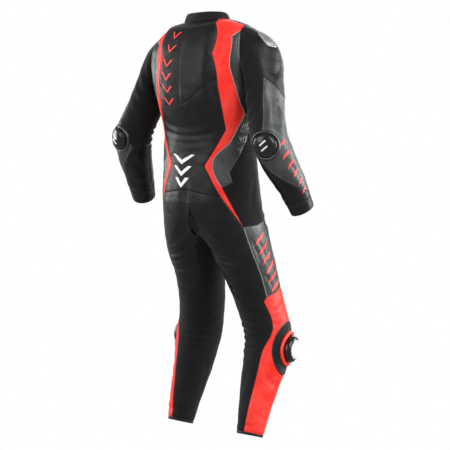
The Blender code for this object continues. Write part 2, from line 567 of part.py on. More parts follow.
def mound(name, surface, centre, radii, profile, material, side, square=2.0, closed=False, sides=20):
    """A piece that follows the surface under it: profile rows are (share of the radius, height)."""
    across, along = scales(surface, *centre)
    turns = 2 * pi * np.arange(sides) / sides
    ring = np.stack([np.sign(f(turns)) * np.abs(f(turns)) ** (2 / square) for f in (np.cos, np.sin)], -1)
    ring = ring * radii / (across, along)
    bm = bmesh.new()
    rows = []
    for share, height in profile:
        around, down = (np.array(centre) + ring * share).T if share else np.array([centre]).T
        raised = surface(around, down) + height * outward_of(surface, around, down)
        rows.append([bm.verts.new(p) for p in place(raised, side)])
    pairs = list(zip(rows, rows[1:])) + ([(rows[-1], rows[0])] if closed else [])
    for low, high in pairs:
        for i in range(sides):
            j = (i + 1) % sides
            corners = [low[i % len(low)], low[j % len(low)], high[j % len(high)], high[i % len(high)]]
            bm.faces.new(list(dict.fromkeys(corners)))
    finish(bm, name, material)


def dome(base, shoulder, top, rows=3):
    """The profile of a closed piece: a flat foot at height base, a side up to shoulder, and a crown."""
    foot = [(i / rows, base) for i in range(rows + 1)]
    crown = [(cos(a), shoulder + (top - shoulder) * sin(a)) for a in np.linspace(0, pi / 2, rows + 1)[:-1]]
    return foot + crown + [(0, top)]


def frame_profile(foot, inside, height):
    """The profile of a ring from the share inside to its full radius, with its top edges rounded off."""
    across, corner = 1 - inside, 0.6 * height
    top, side_top = foot + height, foot + corner
    return [(inside, foot), (1 - across / 2, foot), (1.0, foot), (1.0, side_top), (1 - across / 3, top),
            (inside + across / 5, top), (inside, side_top)]


def band(name, surface, stops, low, high, wall, material, side):
    """A strip all the way round an opening, from one named place to the next, as wide as low to high."""
    run = []
    for start, end in zip(stops, stops[1:]):
        fine = np.linspace(start, end, 20)
        length = np.linalg.norm(np.diff(surface(fine, np.full(20, low)), axis=0), axis=1).sum()
        run += list(np.linspace(start, end, max(1, round(length / SEAM_STEP)), endpoint=False))
    run = np.array(run + [stops[-1]])
    outline = np.concatenate([np.stack([run, np.full(len(run), low)], -1),
                              np.stack([run[::-1], np.full(len(run), high)], -1)])
    panel(name, surface, outline, np.full(len(outline), np.nan), wall, COLLAR_STEP, material, side)


def build_half(side):
    """Every piece of the wearer's left or right half."""
    word = SIDE_NAMES[side]
    points = body_points(side)
    for name, names, material, wall, spacing in BODY_PANELS:
        chosen = points
        if name == "inner_leg":
            chosen = {key: (a + LEG_AROUND if a < 0 else a, d) for key, (a, d) in points.items()}
        outline, arms = outline_of(names, chosen, BODY_CURVES, body)
        panel(f"{name}_{word}", body, outline, arms, wall, spacing, material, side)
    for name, names, material, wall, spacing in SLEEVE_PANELS:
        outline, arms = outline_of(names, sleeve_points(), SLEEVE_CURVES, sleeve)
        panel(f"{name}_{word}", sleeve, outline, arms, wall, spacing, material, side)
    inner_hem = BODY_POINTS["inner_hem"][0]
    hem_stops = (inner_hem, BODY_POINTS["red_front_hem"][0], BODY_POINTS["red_hem"][0], inner_hem + LEG_AROUND)
    band(f"hem_binding_{word}", body, hem_stops, HEM_DOWN, LEG_END, LEATHER, "black_leather", side)
    outer_cuff = SLEEVE_POINTS["outer_cuff"][0]
    cuff_stops = (outer_cuff, SLEEVE_POINTS["inner_cuff"][0], outer_cuff + 1)
    band(f"cuff_{word}", sleeve, cuff_stops, CUFF_DOWN, SLEEVE_END, LEATHER, "black_leather", side)
    mound(f"shoulder_plate_{word}", sleeve, PLATE_AT, PLATE_RADII, dome(LIE, LIE + 0.0018, LIE + PLATE_HEIGHT),
          "plate_metal", side, square=4.0)
    ring = frame_profile(LIE, ELBOW_RING_INSIDE, ELBOW_RING_HEIGHT)
    mound(f"elbow_ring_{word}", sleeve, ELBOW_AT, ELBOW_RADII, ring, "slider_black", side, closed=True)
    mound(f"elbow_slider_{word}", sleeve, ELBOW_AT, ELBOW_RADII * ELBOW_SLIDER_SHARE,
          dome(LIE, 0.008, ELBOW_HEIGHT), "slider_black", side)
    mound(f"forearm_zip_{word}", sleeve, FOREARM_ZIP_AT, FOREARM_ZIP_RADII,
          dome(LIE, LIE + 0.001, LIE + FOREARM_ZIP_HEIGHT), "zip_metal", side, square=6.0)
    mound(f"knee_patch_{word}", body, KNEE_AT, KNEE_PATCH_RADII,
          dome(LIE, LIE + 0.0016, LIE + KNEE_PATCH_HEIGHT, rows=4), "hook_pile", side)
    foot = LIE + KNEE_PATCH_HEIGHT + LIE
    ring = frame_profile(foot, KNEE_BASE_INSIDE, KNEE_BASE_HEIGHT)
    mound(f"knee_slider_base_{word}", body, KNEE_AT, KNEE_BASE_RADII, ring, "slider_red", side, closed=True)
    mound(f"knee_slider_{word}", body, KNEE_AT, KNEE_BASE_RADII * KNEE_SLIDER_SHARE,
          dome(foot, foot + 0.012, KNEE_HEIGHT), "slider_black", side)


def build_middle():
    """The pieces that cross the middle: lower back, front zip with its slider, and collar."""
    right, left = body_points(RIGHT), body_points(LEFT)
    half = ("yoke_spine", "red_yoke", "red_blade", "red_rib", "red_waist", "red_seat", "seat_spine")
    sides = []
    for points in (left, right):
        outline = np.concatenate([edge(a, b, points, BODY_CURVES, body) for a, b in zip(half, half[1:])])
        sides.append(np.vstack([outline, points["seat_spine"]]))
    other = sides[1][::-1] * (-1, 1) + (1, 0)
    outline = np.concatenate([sides[0][:-1], other[:-1]])
    panel("back_lower", torso, outline, np.full(len(outline), np.nan), LEATHER, TORSO_STEP, "black_leather", LEFT)
    half = ("neck_zip", "zip_chest", "zip_waist", "zip_end", "zip_foot")
    strip = np.concatenate([edge(a, b, left, BODY_CURVES, body) for a, b in zip(half, half[1:])])
    strip = np.concatenate([strip, [left["zip_foot"]], strip[::-1] * (-1, 1)])
    panel("front_zip", torso, strip, np.full(len(strip), np.nan), LEATHER, COLLAR_STEP, "zip_metal", LEFT)
    neck = [BODY_POINTS[name][0] for name in ("neck_zip", "neck_shoulder", "neck_red", "neck_spine")]
    stops = neck + [1 - around for around in neck[-2::-1]]
    band("collar", collar, stops, 0.0, -COLLAR_RISE, COLLAR_WALL, "collar_knit", LEFT)
    mound("zip_slider", torso, ZIP_SLIDER_AT, ZIP_SLIDER_RADII, dome(LIE, 0.003, ZIP_SLIDER_HEIGHT),
          "zip_metal", LEFT, square=4.0)


def build():
    for thing in list(bpy.data.objects):
        bpy.data.objects.remove(thing)
    bpy.context.collection.objects.link(bpy.data.objects.new("suit", None))
    build_middle()
    for side in (LEFT, RIGHT):
        build_half(side)


build()
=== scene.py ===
# %% [markdown]
# # A leather race suit, piece by piece
# A one-piece race suit is cut from cowhide, with stretch fabric where the rider bends, and sewn to the
# shape of someone who leans forward. This script dresses the plain solids of such a suit. Each panel
# becomes a thin shell with folds, seams and stitches, and each fitting gets its real form and finish.

# %% Load the fixed frame
from math import cos, pi, radians, sin

import bmesh
import bpy
import numpy as np
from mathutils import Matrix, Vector
from mathutils.geometry import delaunay_2d_cdt


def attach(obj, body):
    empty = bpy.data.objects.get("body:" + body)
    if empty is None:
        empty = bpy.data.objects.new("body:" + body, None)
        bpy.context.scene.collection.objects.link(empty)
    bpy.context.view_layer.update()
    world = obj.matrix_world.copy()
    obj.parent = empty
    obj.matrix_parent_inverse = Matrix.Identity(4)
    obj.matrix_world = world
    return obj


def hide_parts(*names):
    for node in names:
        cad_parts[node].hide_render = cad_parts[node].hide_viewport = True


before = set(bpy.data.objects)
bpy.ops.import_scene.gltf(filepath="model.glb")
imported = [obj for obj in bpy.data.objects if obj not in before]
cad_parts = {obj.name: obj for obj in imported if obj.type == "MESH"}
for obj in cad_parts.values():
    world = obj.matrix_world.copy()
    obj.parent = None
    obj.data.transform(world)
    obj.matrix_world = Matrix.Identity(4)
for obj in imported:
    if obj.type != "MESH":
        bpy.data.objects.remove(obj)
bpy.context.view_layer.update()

# %% [markdown]
# ## Camera and light
# The suit stands free in a studio. The camera is behind it and to its right, far away and with a long lens,
# so that the shape isn't distorted. Black leather shows its form only by what it mirrors, so the light
# comes from large soft panels: one in front of the back, and one on each side that draws a pale edge along
# the limbs.

# %% Set up the studio
LOOK_AT = Vector((0, 0, -0.672))
CAMERA_TURN, CAMERA_AWAY, CAMERA_HEIGHT = radians(218), 4.6, 0.552


def seen_from(turn, away, height):
    """A place round the suit; turn 0 is in front of it."""
    return LOOK_AT + Vector((sin(turn) * away, -cos(turn) * away, height))


scene = bpy.context.scene
camera = bpy.data.objects.new("camera", bpy.data.cameras.new("camera"))
scene.collection.objects.link(camera)
scene.camera = camera
camera.location = seen_from(CAMERA_TURN, CAMERA_AWAY, CAMERA_HEIGHT)
camera.rotation_euler = (LOOK_AT - camera.location).to_track_quat("-Z", "Y").to_euler()
camera.data.lens = 110.8
camera.data.shift_x = 0.0356

LIGHTS = (
    # name, turn, away, height, width, power
    ("key", 262, 3.4, 1.9, 2.6, 95),
    ("fill", 170, 3.6, 1.2, 2.6, 60),
    ("right_edge", 318, 2.6, 0.4, 1.4, 50),
    ("left_edge", 105, 2.6, 0.5, 1.4, 45),
    ("front", 20, 3.8, 1.4, 2.6, 70),
)
for name, turn, away, height, width, power in LIGHTS:
    lamp = bpy.data.lights.new(name, "AREA")
    lamp.size = width
    lamp.energy = power
    light = bpy.data.objects.new(name, lamp)
    light.location = seen_from(radians(turn), away, height)
    light.rotation_euler = (LOOK_AT - light.location).to_track_quat("-Z", "Y").to_euler()
    scene.collection.objects.link(light)
scene.view_settings.view_transform = "Standard"
print("the studio has a camera and", len(LIGHTS), "lights")

# %% [markdown]
# ## Colours and nodes
# Colours are written as on a colour card, in sRGB, and one function turns them to the linear values that
# the shader works with. One more function adds a node, sets it and links it, so that each material below
# reads as a list of what it is made of.

# %% Helpers for materials
def linear(hex_colour):
    """An sRGB hex colour as linear values with full alpha."""
    parts = [int(hex_colour[i:i + 2], 16) / 255 for i in (1, 3, 5)]
    return (*[p / 12.92 if p <= 0.04045 else ((p + 0.055) / 1.055) ** 2.4 for p in parts], 1.0)


def add(tree, kind, inputs, **settings):
    """Adds one node; inputs gives each socket a value, or another node's output to link to."""
    made = tree.nodes.new("ShaderNode" + kind)
    for setting, value in settings.items():
        setattr(made, setting, value)
    for socket, value in inputs.items():
        if isinstance(value, bpy.types.NodeSocket):
            tree.links.new(value, made.inputs[socket])
        else:
            made.inputs[socket].default_value = value
    return made


def new_material(name, sockets):
    """A material with its shader's fixed values, and the tree to add nodes to."""
    material = bpy.data.materials.new(name)
    material.use_nodes = True
    shader = material.node_tree.nodes["Principled BSDF"]
    for socket, value in sockets.items():
        shader.inputs[socket].default_value = value
    return material, material.node_tree, shader


def connect(tree, shader, links):
    """Links outputs to the shader's sockets."""
    for socket, output in links.items():
        tree.links.new(output, shader.inputs[socket])


MM = 0.001
MIX_A, MIX_B, MIX_RESULT = 6, 7, 2
print("materials are described in metres, with a millimetre as", MM)

# %% [markdown]
# ## Surroundings
# The suit hangs free in front of white on every side. The surroundings look fully white, but they light the
# suit only softly, so that the black leather stays black.

# %% Make the surroundings
world = bpy.data.worlds.new("studio")
world.use_nodes = True
scene.world = world
WORLD_LIGHT, WORLD_SEEN = 0.45, 1.0
air = world.node_tree
for_camera = add(air, "LightPath", {}).outputs["Is Camera Ray"]
strength = add(air, "MapRange", {"Value": for_camera, "To Min": WORLD_LIGHT, "To Max": WORLD_SEEN})
air.links.new(strength.outputs["Result"], air.nodes["Background"].inputs["Strength"])
air.nodes["Background"].inputs["Color"].default_value = (1, 1, 1, 1)
print("the surroundings light the suit at", WORLD_LIGHT)

# %% [markdown]
# ## Leather
# Race suits are made of cowhide 1.2 to 1.4 mm thick, tanned, dyed through and sealed with a thin coat of
# pigment and resin. The coat gives a soft gloss, and the hide under it a fine pebble grain about 1 mm wide,
# with pores, faint wrinkles and a cloudy tone. Grain that fine doesn't show on a whole suit, so it is drawn
# about 2 mm wide. The grain is a cell pattern, the wrinkles are stretched noise, and both only tilt the
# light.

# %% Make the leathers
GRAIN_MM, WRINKLE_MM, CLOUD_MM = 2.0, 14.0, 60.0
HIDE_IOR = 1.5


def leather(name, colour, deep_colour, roughness, grain, specular, metallic=0.0):
    """Pigmented cowhide; the deep colour shows in clouds, and roughness is its mean."""
    material, tree, shader = new_material(name, {"Metallic": metallic, "IOR": HIDE_IOR,
                                                 "Specular IOR Level": specular})
    where = add(tree, "TexCoord", {}).outputs["Object"]
    clouds = add(tree, "TexNoise", {"Vector": where, "Scale": 1 / (CLOUD_MM * MM), "Detail": 4.0})
    cloud_share = add(tree, "MapRange", {"Value": clouds.outputs["Fac"], "From Min": 0.35, "From Max": 0.65})
    tone = add(tree, "Mix", {0: cloud_share.outputs["Result"], MIX_A: linear(deep_colour),
                             MIX_B: linear(colour)}, data_type="RGBA")
    wrinkles = add(tree, "TexNoise", {"Vector": where, "Scale": 1 / (WRINKLE_MM * MM), "Detail": 5.0,
                                      "Roughness": 0.6, "Distortion": 0.8})
    cells = add(tree, "TexVoronoi", {"Vector": where, "Scale": 1 / (GRAIN_MM * MM)}, feature="SMOOTH_F1")
    gloss = add(tree, "MapRange", {"Value": wrinkles.outputs["Fac"], "From Min": 0.3, "From Max": 0.7,
                                   "To Min": roughness - 0.07, "To Max": roughness + 0.07})
    broad = add(tree, "Bump", {"Height": wrinkles.outputs["Fac"], "Strength": 0.5, "Distance": 2.4 * MM})
    fine = add(tree, "Bump", {"Height": cells.outputs["Distance"], "Strength": grain, "Distance": 0.5 * MM,
                              "Normal": broad.outputs["Normal"]})
    connect(tree, shader, {"Base Color": tone.outputs[MIX_RESULT], "Roughness": gloss.outputs["Result"],
                           "Normal": fine.outputs["Normal"]})
    return material


BLACK_LEATHER = leather("cowhide_black", "#131314", "#0d0d0e", 0.40, 0.45, 0.27)
RED_LEATHER = leather("cowhide_fluorescent_red", "#ff4338", "#f92a1f", 0.44, 0.35, 0.30)
GREY_LEATHER = leather("cowhide_pearl_grey", "#505352", "#3b3e3d", 0.36, 0.45, 0.40, metallic=0.45)
print("three leathers:", BLACK_LEATHER.name, RED_LEATHER.name, GREY_LEATHER.name)

# %% [markdown]
# ## Fabrics
# Where the suit has to stretch it is an aramid and elastane weave: matt, very dark, with a fine rib. The
# ribs are half a millimetre apart, so they are drawn 2.4 mm apart to be seen at all. They follow each
# panel's own UV map, which holds metres along the cut piece. The lining is an open mesh knit, and the patch
# that holds the knee slider is looped pile.

# %% Make the fabrics
RIB_MM, LINING_MM, LOOP_MM = 2.4, 3.0, 1.6
WAVE_UNIT = pi / 10


def fabric(name, colour, light_colour, pitch_mm, strength, roughness=0.85):
    """A woven or knitted fabric whose threads follow the UV map, pitch_mm apart."""
    material, tree, shader = new_material(name, {"Roughness": roughness, "Sheen Weight": 0.15,
                                                 "Sheen Roughness": 0.4, "Specular IOR Level": 0.25})
    place = add(tree, "TexCoord", {}).outputs["UV"]
    warp = add(tree, "TexWave", {"Vector": place, "Scale": WAVE_UNIT / (pitch_mm * MM), "Distortion": 0.4},
               bands_direction="X")
    weft = add(tree, "TexWave", {"Vector": place, "Scale": WAVE_UNIT / (pitch_mm * MM), "Distortion": 0.4},
               bands_direction="Y")
    threads = add(tree, "Mix", {0: 0.5, 2: warp.outputs["Fac"], 3: weft.outputs["Fac"]}, data_type="FLOAT")
    where = add(tree, "TexCoord", {}).outputs["Object"]
    fuzz = add(tree, "TexNoise", {"Vector": where, "Scale": 1 / (CLOUD_MM * MM), "Detail": 6.0})
    spread = add(tree, "Math", {0: threads.outputs[0], 1: fuzz.outputs["Fac"]}, operation="MULTIPLY")
    tone = add(tree, "Mix", {0: spread.outputs[0], MIX_A: linear(colour), MIX_B: linear(light_colour)},
               data_type="RGBA")
    relief = add(tree, "Bump", {"Height": threads.outputs[0], "Strength": strength, "Distance": 0.4 * MM})
    connect(tree, shader, {"Base Color": tone.outputs[MIX_RESULT], "Normal": relief.outputs["Normal"]})
    return material


STRETCH_WEAVE = fabric("aramid_stretch_weave", "#0b0b0d", "#1c1c20", RIB_MM, 0.5)
COLLAR_KNIT = fabric("neoprene_knit", "#101012", "#222225", 2.0, 0.4)
LINING = fabric("mesh_lining", "#1a1a1c", "#34343a", LINING_MM, 0.8, roughness=0.95)
ZIP_TAPE = fabric("zip_tape", "#0d0d0e", "#1e1e20", 1.8, 0.5)


def pile(name, colour):
    """Looped nylon pile, as on the soft half of a touch fastener."""
    material, tree, shader = new_material(name, {"Roughness": 1.0, "Sheen Weight": 0.3,
                                                 "Specular IOR Level": 0.2})
    where = add(tree, "TexCoord", {}).outputs["Object"]
    loops = add(tree, "TexVoronoi", {"Vector": where, "Scale": 1 / (LOOP_MM * MM)})
    tone = add(tree, "Mix", {0: loops.outputs["Distance"], MIX_A: linear(colour), MIX_B: linear("#050505")},
               data_type="RGBA")
    relief = add(tree, "Bump", {"Height": loops.outputs["Distance"], "Strength": 0.9, "Distance": 0.8 * MM})
    connect(tree, shader, {"Base Color": tone.outputs[MIX_RESULT], "Normal": relief.outputs["Normal"]})
    return material


HOOK_PILE = pile("nylon_loop_pile", "#141415")
print("fabrics made:", STRETCH_WEAVE.name, COLLAR_KNIT.name, LINING.name, ZIP_TAPE.name, HOOK_PILE.name)

# %% [markdown]
# ## Hard parts, thread and transfers
# The sliders are moulded polyurethane and nylon, glossy and lightly scuffed. The shoulder plates are
# brushed aluminium: fine parallel scratches stretch every highlight across them. Threads are bonded
# polyester, and the coloured marks are thin rubber transfers pressed onto the leather.

# %% Make the hard materials
def moulded(name, colour, roughness, scuff=0.1):
    """Moulded plastic; fine scuffs make its gloss uneven."""
    material, tree, shader = new_material(name, {"Base Color": linear(colour), "IOR": 1.52})
    where = add(tree, "TexCoord", {}).outputs["Object"]
    scuffs = add(tree, "TexNoise", {"Vector": where, "Scale": 1 / (6 * MM), "Detail": 8.0, "Distortion": 2.0})
    gloss = add(tree, "MapRange", {"Value": scuffs.outputs["Fac"], "From Min": 0.4, "From Max": 0.7,
                                   "To Min": roughness, "To Max": roughness + scuff})
    relief = add(tree, "Bump", {"Height": scuffs.outputs["Fac"], "Strength": 0.08, "Distance": 0.3 * MM})
    connect(tree, shader, {"Roughness": gloss.outputs["Result"], "Normal": relief.outputs["Normal"]})
    return material


def brushed(name, colour, roughness, scratch_mm):
    """Brushed metal; the noise is drawn out along X so that it reads as parallel scratches."""
    material, tree, shader = new_material(name, {"Base Color": linear(colour), "Metallic": 1.0,
                                                 "Anisotropic": 0.5})
    where = add(tree, "TexCoord", {}).outputs["Object"]
    drawn_out = add(tree, "Mapping", {"Vector": where, "Scale": (0.06, 1.0, 1.0)})
    scratches = add(tree, "TexNoise", {"Vector": drawn_out.outputs["Vector"], "Scale": 1 / (scratch_mm * MM),
                                       "Detail": 6.0})
    gloss = add(tree, "MapRange", {"Value": scratches.outputs["Fac"], "From Min": 0.3, "From Max": 0.7,
                                   "To Min": roughness - 0.08, "To Max": roughness + 0.10})
    relief = add(tree, "Bump", {"Height": scratches.outputs["Fac"], "Strength": 0.15, "Distance": 0.2 * MM})
    connect(tree, shader, {"Roughness": gloss.outputs["Result"], "Normal": relief.outputs["Normal"]})
    return material


SLIDER_BLACK = moulded("polyurethane_black", "#0b0b0c", 0.16)
SLIDER_RED = moulded("nylon_red", "#f5392c", 0.32)
SLIDER_WHITE = moulded("polyurethane_white", "#ececea", 0.22)
RUBBER_BLACK = moulded("rubber_black", "#131314", 0.42)
TRANSFER_RED = moulded("transfer_red", "#ff4034", 0.45)
TRANSFER_WHITE = moulded("transfer_white", "#f4f4f2", 0.45)
PALE_PIPING = moulded("coated_piping_cord", "#b4b7b6", 0.4)
PLATE_METAL = brushed("brushed_aluminium", "#b4b5b7", 0.42, 1.2)
ZIP_METAL = brushed("nickel_plated_brass", "#b9babd", 0.28, 2.0)
GUNMETAL = brushed("dark_anodised_aluminium", "#54585a", 0.34, 2.0)
THREADS = {
    "black": moulded("polyester_thread_black", "#333335", 0.6),
    "grey": moulded("polyester_thread_grey", "#9a9c9d", 0.6),
    "red": moulded("polyester_thread_red", "#c4281f", 0.6),
}
print("hard materials:", PLATE_METAL.name, ZIP_METAL.name, "and", len(THREADS), "threads")

# %% [markdown]
# ## The form of the suit
# A suit is described best by a few smooth surfaces. The torso, a leg, a sleeve and the collar each run
# around the body and down it, so a pair (around, down) is a place on the suit. On the torso, around goes
# from 0 at the front over 0.25 at the wearer's left side to 0.5 at the spine, and down is in metres from
# the neck seam. The right half is the mirror image. Each surface is a smooth curve through a few oval
# sections.

# %% Sizes and sections
LEATHER_WALL, STRETCH_WALL, COLLAR_WALL = 1.8 * MM, 1.5 * MM, 3.0 * MM
ZIP_HALF, ZIP_END, HIP_DOWN = 0.010, 0.62, 0.64
CUFF_DOWN, SLEEVE_END, HEM_DOWN, LEG_END, COLLAR_RISE = 0.465, 0.500, 1.402, 1.410, 0.038
# Torso: down, side y and z, half width, front y and z, back y and z, squareness of the oval
TORSO = np.array((
    (0.00, 0.010, 0.004, 0.080, -0.070, -0.050, 0.074, 0.000, 2.0),
    (0.05, 0.010, -0.010, 0.124, -0.096, -0.078, 0.100, -0.026, 2.2),
    (0.10, 0.008, -0.028, 0.164, -0.113, -0.112, 0.119, -0.070, 2.3),
    (0.15, 0.005, -0.060, 0.194, -0.126, -0.150, 0.132, -0.122, 2.4),
    (0.20, 0.003, -0.112, 0.203, -0.134, -0.190, 0.138, -0.175, 2.4),
    (0.26, 0.000, -0.180, 0.197, -0.138, -0.238, 0.136, -0.230, 2.3),
    (0.32, -0.002, -0.250, 0.183, -0.136, -0.290, 0.130, -0.285, 2.3),
    (0.40, -0.006, -0.340, 0.165, -0.130, -0.360, 0.118, -0.355, 2.2),
    (0.48, -0.008, -0.425, 0.163, -0.128, -0.430, 0.117, -0.425, 2.2),
    (0.56, -0.010, -0.505, 0.167, -0.138, -0.505, 0.122, -0.505, 2.2),
    (0.64, -0.017, -0.585, 0.172, -0.150, -0.585, 0.124, -0.585, 2.2),
))
HUMP_HEIGHT, HUMP_HALF, HUMP_EDGE = 0.022, 0.085, 0.045
HUMP_START, HUMP_FULL, HUMP_FADE, HUMP_END = 0.0, 0.05, 0.26, 0.42
# The crotch curve in the middle plane, from back to front: y, z
CROTCH = ((0.118, -0.640), (0.098, -0.682), (0.055, -0.708), (-0.005, -0.716), (-0.070, -0.703),
          (-0.130, -0.652))
# Leg: down, centre x, y and z, half width, half depth
LEG = np.array((
    (0.78, 0.099, -0.052, -0.740, 0.087, 0.109),
    (0.86, 0.108, -0.086, -0.822, 0.083, 0.096),
    (0.94, 0.119, -0.111, -0.900, 0.077, 0.088),
    (1.02, 0.133, -0.132, -0.985, 0.074, 0.084),
    (1.09, 0.143, -0.138, -1.055, 0.072, 0.083),
    (1.16, 0.147, -0.120, -1.125, 0.069, 0.079),
    (1.24, 0.148, -0.092, -1.205, 0.062, 0.069),
    (1.32, 0.149, -0.060, -1.285, 0.053, 0.057),
    (1.41, 0.150, -0.030, -1.375, 0.043, 0.045),
))
# A leg is a full tube: around runs on past the spine, under the crotch, and is back in front at LEG_AROUND
LEG_TURN, LEG_START = 1.4, 0.10
LEG_AROUND = 1 / LEG_TURN
ARMHOLE_AROUND, ARMHOLE_DOWN, ARMHOLE_HALF_AROUND, ARMHOLE_HALF_DOWN = 0.25, 0.19, 0.078, 0.095
# Sleeve: down, centre x, y and z, half width, half depth, tilt; around is 0 outside, 0.25 behind, 0.5 below
ARM = np.array((
    (0.05, 0.222, 0.006, -0.155, 0.077, 0.076, 1.33),
    (0.11, 0.238, 0.014, -0.226, 0.059, 0.073, 0.67),
    (0.18, 0.257, 0.032, -0.295, 0.056, 0.065, 0.36),
    (0.26, 0.281, 0.048, -0.368, 0.058, 0.062, 0.28),
    (0.33, 0.302, 0.028, -0.440, 0.056, 0.058, 0.24),
    (0.41, 0.321, -0.017, -0.517, 0.047, 0.050, 0.22),
    (0.50, 0.336, -0.060, -0.604, 0.038, 0.040, 0.21),
))
ROLL, ROLL_START, ROLL_FULL = 0.075, -0.32, -0.10
LEFT, RIGHT = 1, -1
SIDE_NAMES = {LEFT: "left", RIGHT: "right"}
print("sections:", len(TORSO), "of the torso,", len(LEG), "of a leg and", len(ARM), "of an arm")

# %% [markdown]
# ## The surfaces themselves
# Each function turns pairs of (around, down) into points in space. The leg starts from the torso's last
# ring and the crotch curve, and the sleeve starts from the armhole, so neighbours share their edges
# exactly.

# %% The surfaces
def through(knots, values, at):
    """A smooth curve through rows of values, read at each place in at."""
    knots, values = np.asarray(knots, float), np.asarray(values, float)
    slope = np.gradient(values, knots, axis=0)
    i = np.clip(np.searchsorted(knots, at, side="right") - 1, 0, len(knots) - 2)
    here = (i, np.arange(len(at))) if values.ndim == 3 else (i,)
    after = (i + 1, *here[1:])
    span = (knots[i + 1] - knots[i])[:, None]
    s = (at - knots[i])[:, None] / span
    return ((1 + 2 * s) * (1 - s) ** 2 * values[here] + s * (1 - s) ** 2 * span * slope[here]
            + s * s * (3 - 2 * s) * values[after] - s * s * (1 - s) * span * slope[after])


def ease(value, start, end):
    """0 before the start and 1 after the end, with a smooth rise between them."""
    t = np.clip((value - start) / (end - start), 0, 1)
    return t * t * (3 - 2 * t)


def torso(around, down):
    section = through(TORSO[:, 0], TORSO[:, 1:], down).T
    side_y, side_z, half, front_y, front_z, back_y, back_z, square = section
    sideways, backward = np.sin(2 * pi * around), -np.cos(2 * pi * around)
    x = half * np.sign(sideways) * np.abs(sideways) ** (2 / square)
    y = side_y + np.abs(backward) ** (2 / square) * (np.where(backward < 0, front_y, back_y) - side_y)
    z = side_z + backward ** 2 * (np.where(backward < 0, front_z, back_z) - side_z)
    on_hump = 1 - ease(np.abs(x), HUMP_HALF, HUMP_HALF + HUMP_EDGE)
    along_hump = ease(down, HUMP_START, HUMP_FULL) * (1 - ease(down, HUMP_FADE, HUMP_END))
    return np.stack([x, y + (backward > 0) * HUMP_HEIGHT * on_hump * along_hump, z], -1)


def collar(around, down):
    """The stand-up collar; down is negative, and the neck seam is at 0."""
    base = torso(around, np.zeros_like(down))
    rise = -down / COLLAR_RISE
    narrow = 1 - 0.20 * np.sign(rise) * np.abs(rise) ** 1.3
    axis = np.array([0, 0.004, 0])
    top = axis + (base - axis) * np.stack([narrow, narrow, np.ones_like(narrow)], -1)
    top[:, 2] += rise * COLLAR_RISE * (0.88 - 0.12 * np.cos(2 * pi * around))
    return top


def section_axes(centres, knots, reference):
    """Two axes across a limb at each centre: the one nearest to the reference, and the one beside it."""
    along = np.gradient(centres, knots, axis=0)
    along /= np.linalg.norm(along, axis=1)[:, None]
    first = np.asarray(reference, float) - (along @ np.asarray(reference, float))[:, None] * along
    first /= np.linalg.norm(first, axis=1)[:, None]
    return first, np.cross(first, along)


def leg(around, down):
    """The left leg, whose first ring runs along the hips and then under the crotch."""
    knots = np.concatenate([[HIP_DOWN], LEG[:, 0]])
    hip_centre = (0.092, 0.0, -0.6)
    forward, outward = section_axes(np.vstack([hip_centre, LEG[:, 1:4]]), knots, (0, -1, 0))
    turn = 2 * pi * (around * LEG_TURN - LEG_START)
    rings = [row[1:4] + row[4] * np.sin(turn)[:, None] * o + row[5] * np.cos(turn)[:, None] * f
             for row, f, o in zip(LEG, forward[1:], outward[1:])]
    wrapped = np.mod(around, LEG_AROUND)
    on_torso = np.clip(wrapped, 0, 0.5)
    hip = torso(on_torso, np.full_like(around, HIP_DOWN))
    above = torso(on_torso, np.full_like(around, HIP_DOWN - 0.06))
    front, back = torso(np.array([0.0, 0.5]), np.full(2, HIP_DOWN))
    curve = np.array([back, *[(0, y, z) for y, z in CROTCH], front])
    share = np.concatenate([[0], np.cumsum(np.linalg.norm(np.diff(curve, axis=0), axis=1))])
    under = through(share / share[-1], curve, np.clip((wrapped - 0.5) / (LEG_AROUND - 0.5), 0, 1))
    first = np.where((wrapped > 0.5)[:, None], under, hip)
    beyond = np.minimum(wrapped - 0.5, LEG_AROUND - wrapped)
    crossing = ease(beyond, -0.01, 0.05)[:, None]
    mirrored = rings[0] * np.array([-1, 1, 1])
    lead_in = ((first + above - hip) * (1 - crossing)
               + (first + (mirrored - first) * 0.06 / (LEG[0][0] - HIP_DOWN)) * crossing)
    return through(np.concatenate([[HIP_DOWN - 0.06], knots]), np.stack([lead_in, first, *rings]), down)


def body(around, down):
    """Torso and leg as one surface."""
    beside_torso = (around > 0.5) | (around < 0)
    on_leg = (down > HIP_DOWN) | beside_torso & (down > HIP_DOWN - 0.01)
    points = torso(around, np.minimum(down, HIP_DOWN))
    if on_leg.any():
        points[on_leg] = leg(around[on_leg], down[on_leg])
    return points


def armhole(around, size=1.0):
    """The armhole seam as a place on the torso, for each place around the sleeve."""
    turn = 2 * pi * around
    return (ARMHOLE_AROUND + size * ARMHOLE_HALF_AROUND * np.sin(turn),
            ARMHOLE_DOWN - size * ARMHOLE_HALF_DOWN * np.cos(turn))


def sleeve(around, down):
    """The left sleeve; down is in metres from the armhole seam."""
    along = np.gradient(ARM[:, 1:4], ARM[:, 0], axis=0)
    turn = 2 * pi * around
    rings = []
    for row, direction in zip(ARM, along):
        outward = np.array([cos(row[6]), 0, sin(row[6])])
        backward = np.cross(outward, direction)
        backward /= np.linalg.norm(backward)
        rings.append(row[1:4] + row[4] * np.cos(turn)[:, None] * outward
                     + row[5] * np.sin(turn)[:, None] * backward)
    seam = torso(*armhole(around))
    inside = torso(*armhole(around, 1.3))
    under = ease(-np.cos(turn), -0.2, 0.8)[:, None]
    lead_in = seam + (inside - seam) * (1 - under) - 0.03 * under * (rings[0] - seam) / ARM[0, 0]
    return through(np.concatenate([[-0.03, 0], ARM[:, 0]]), np.stack([lead_in, seam, *rings]), down)


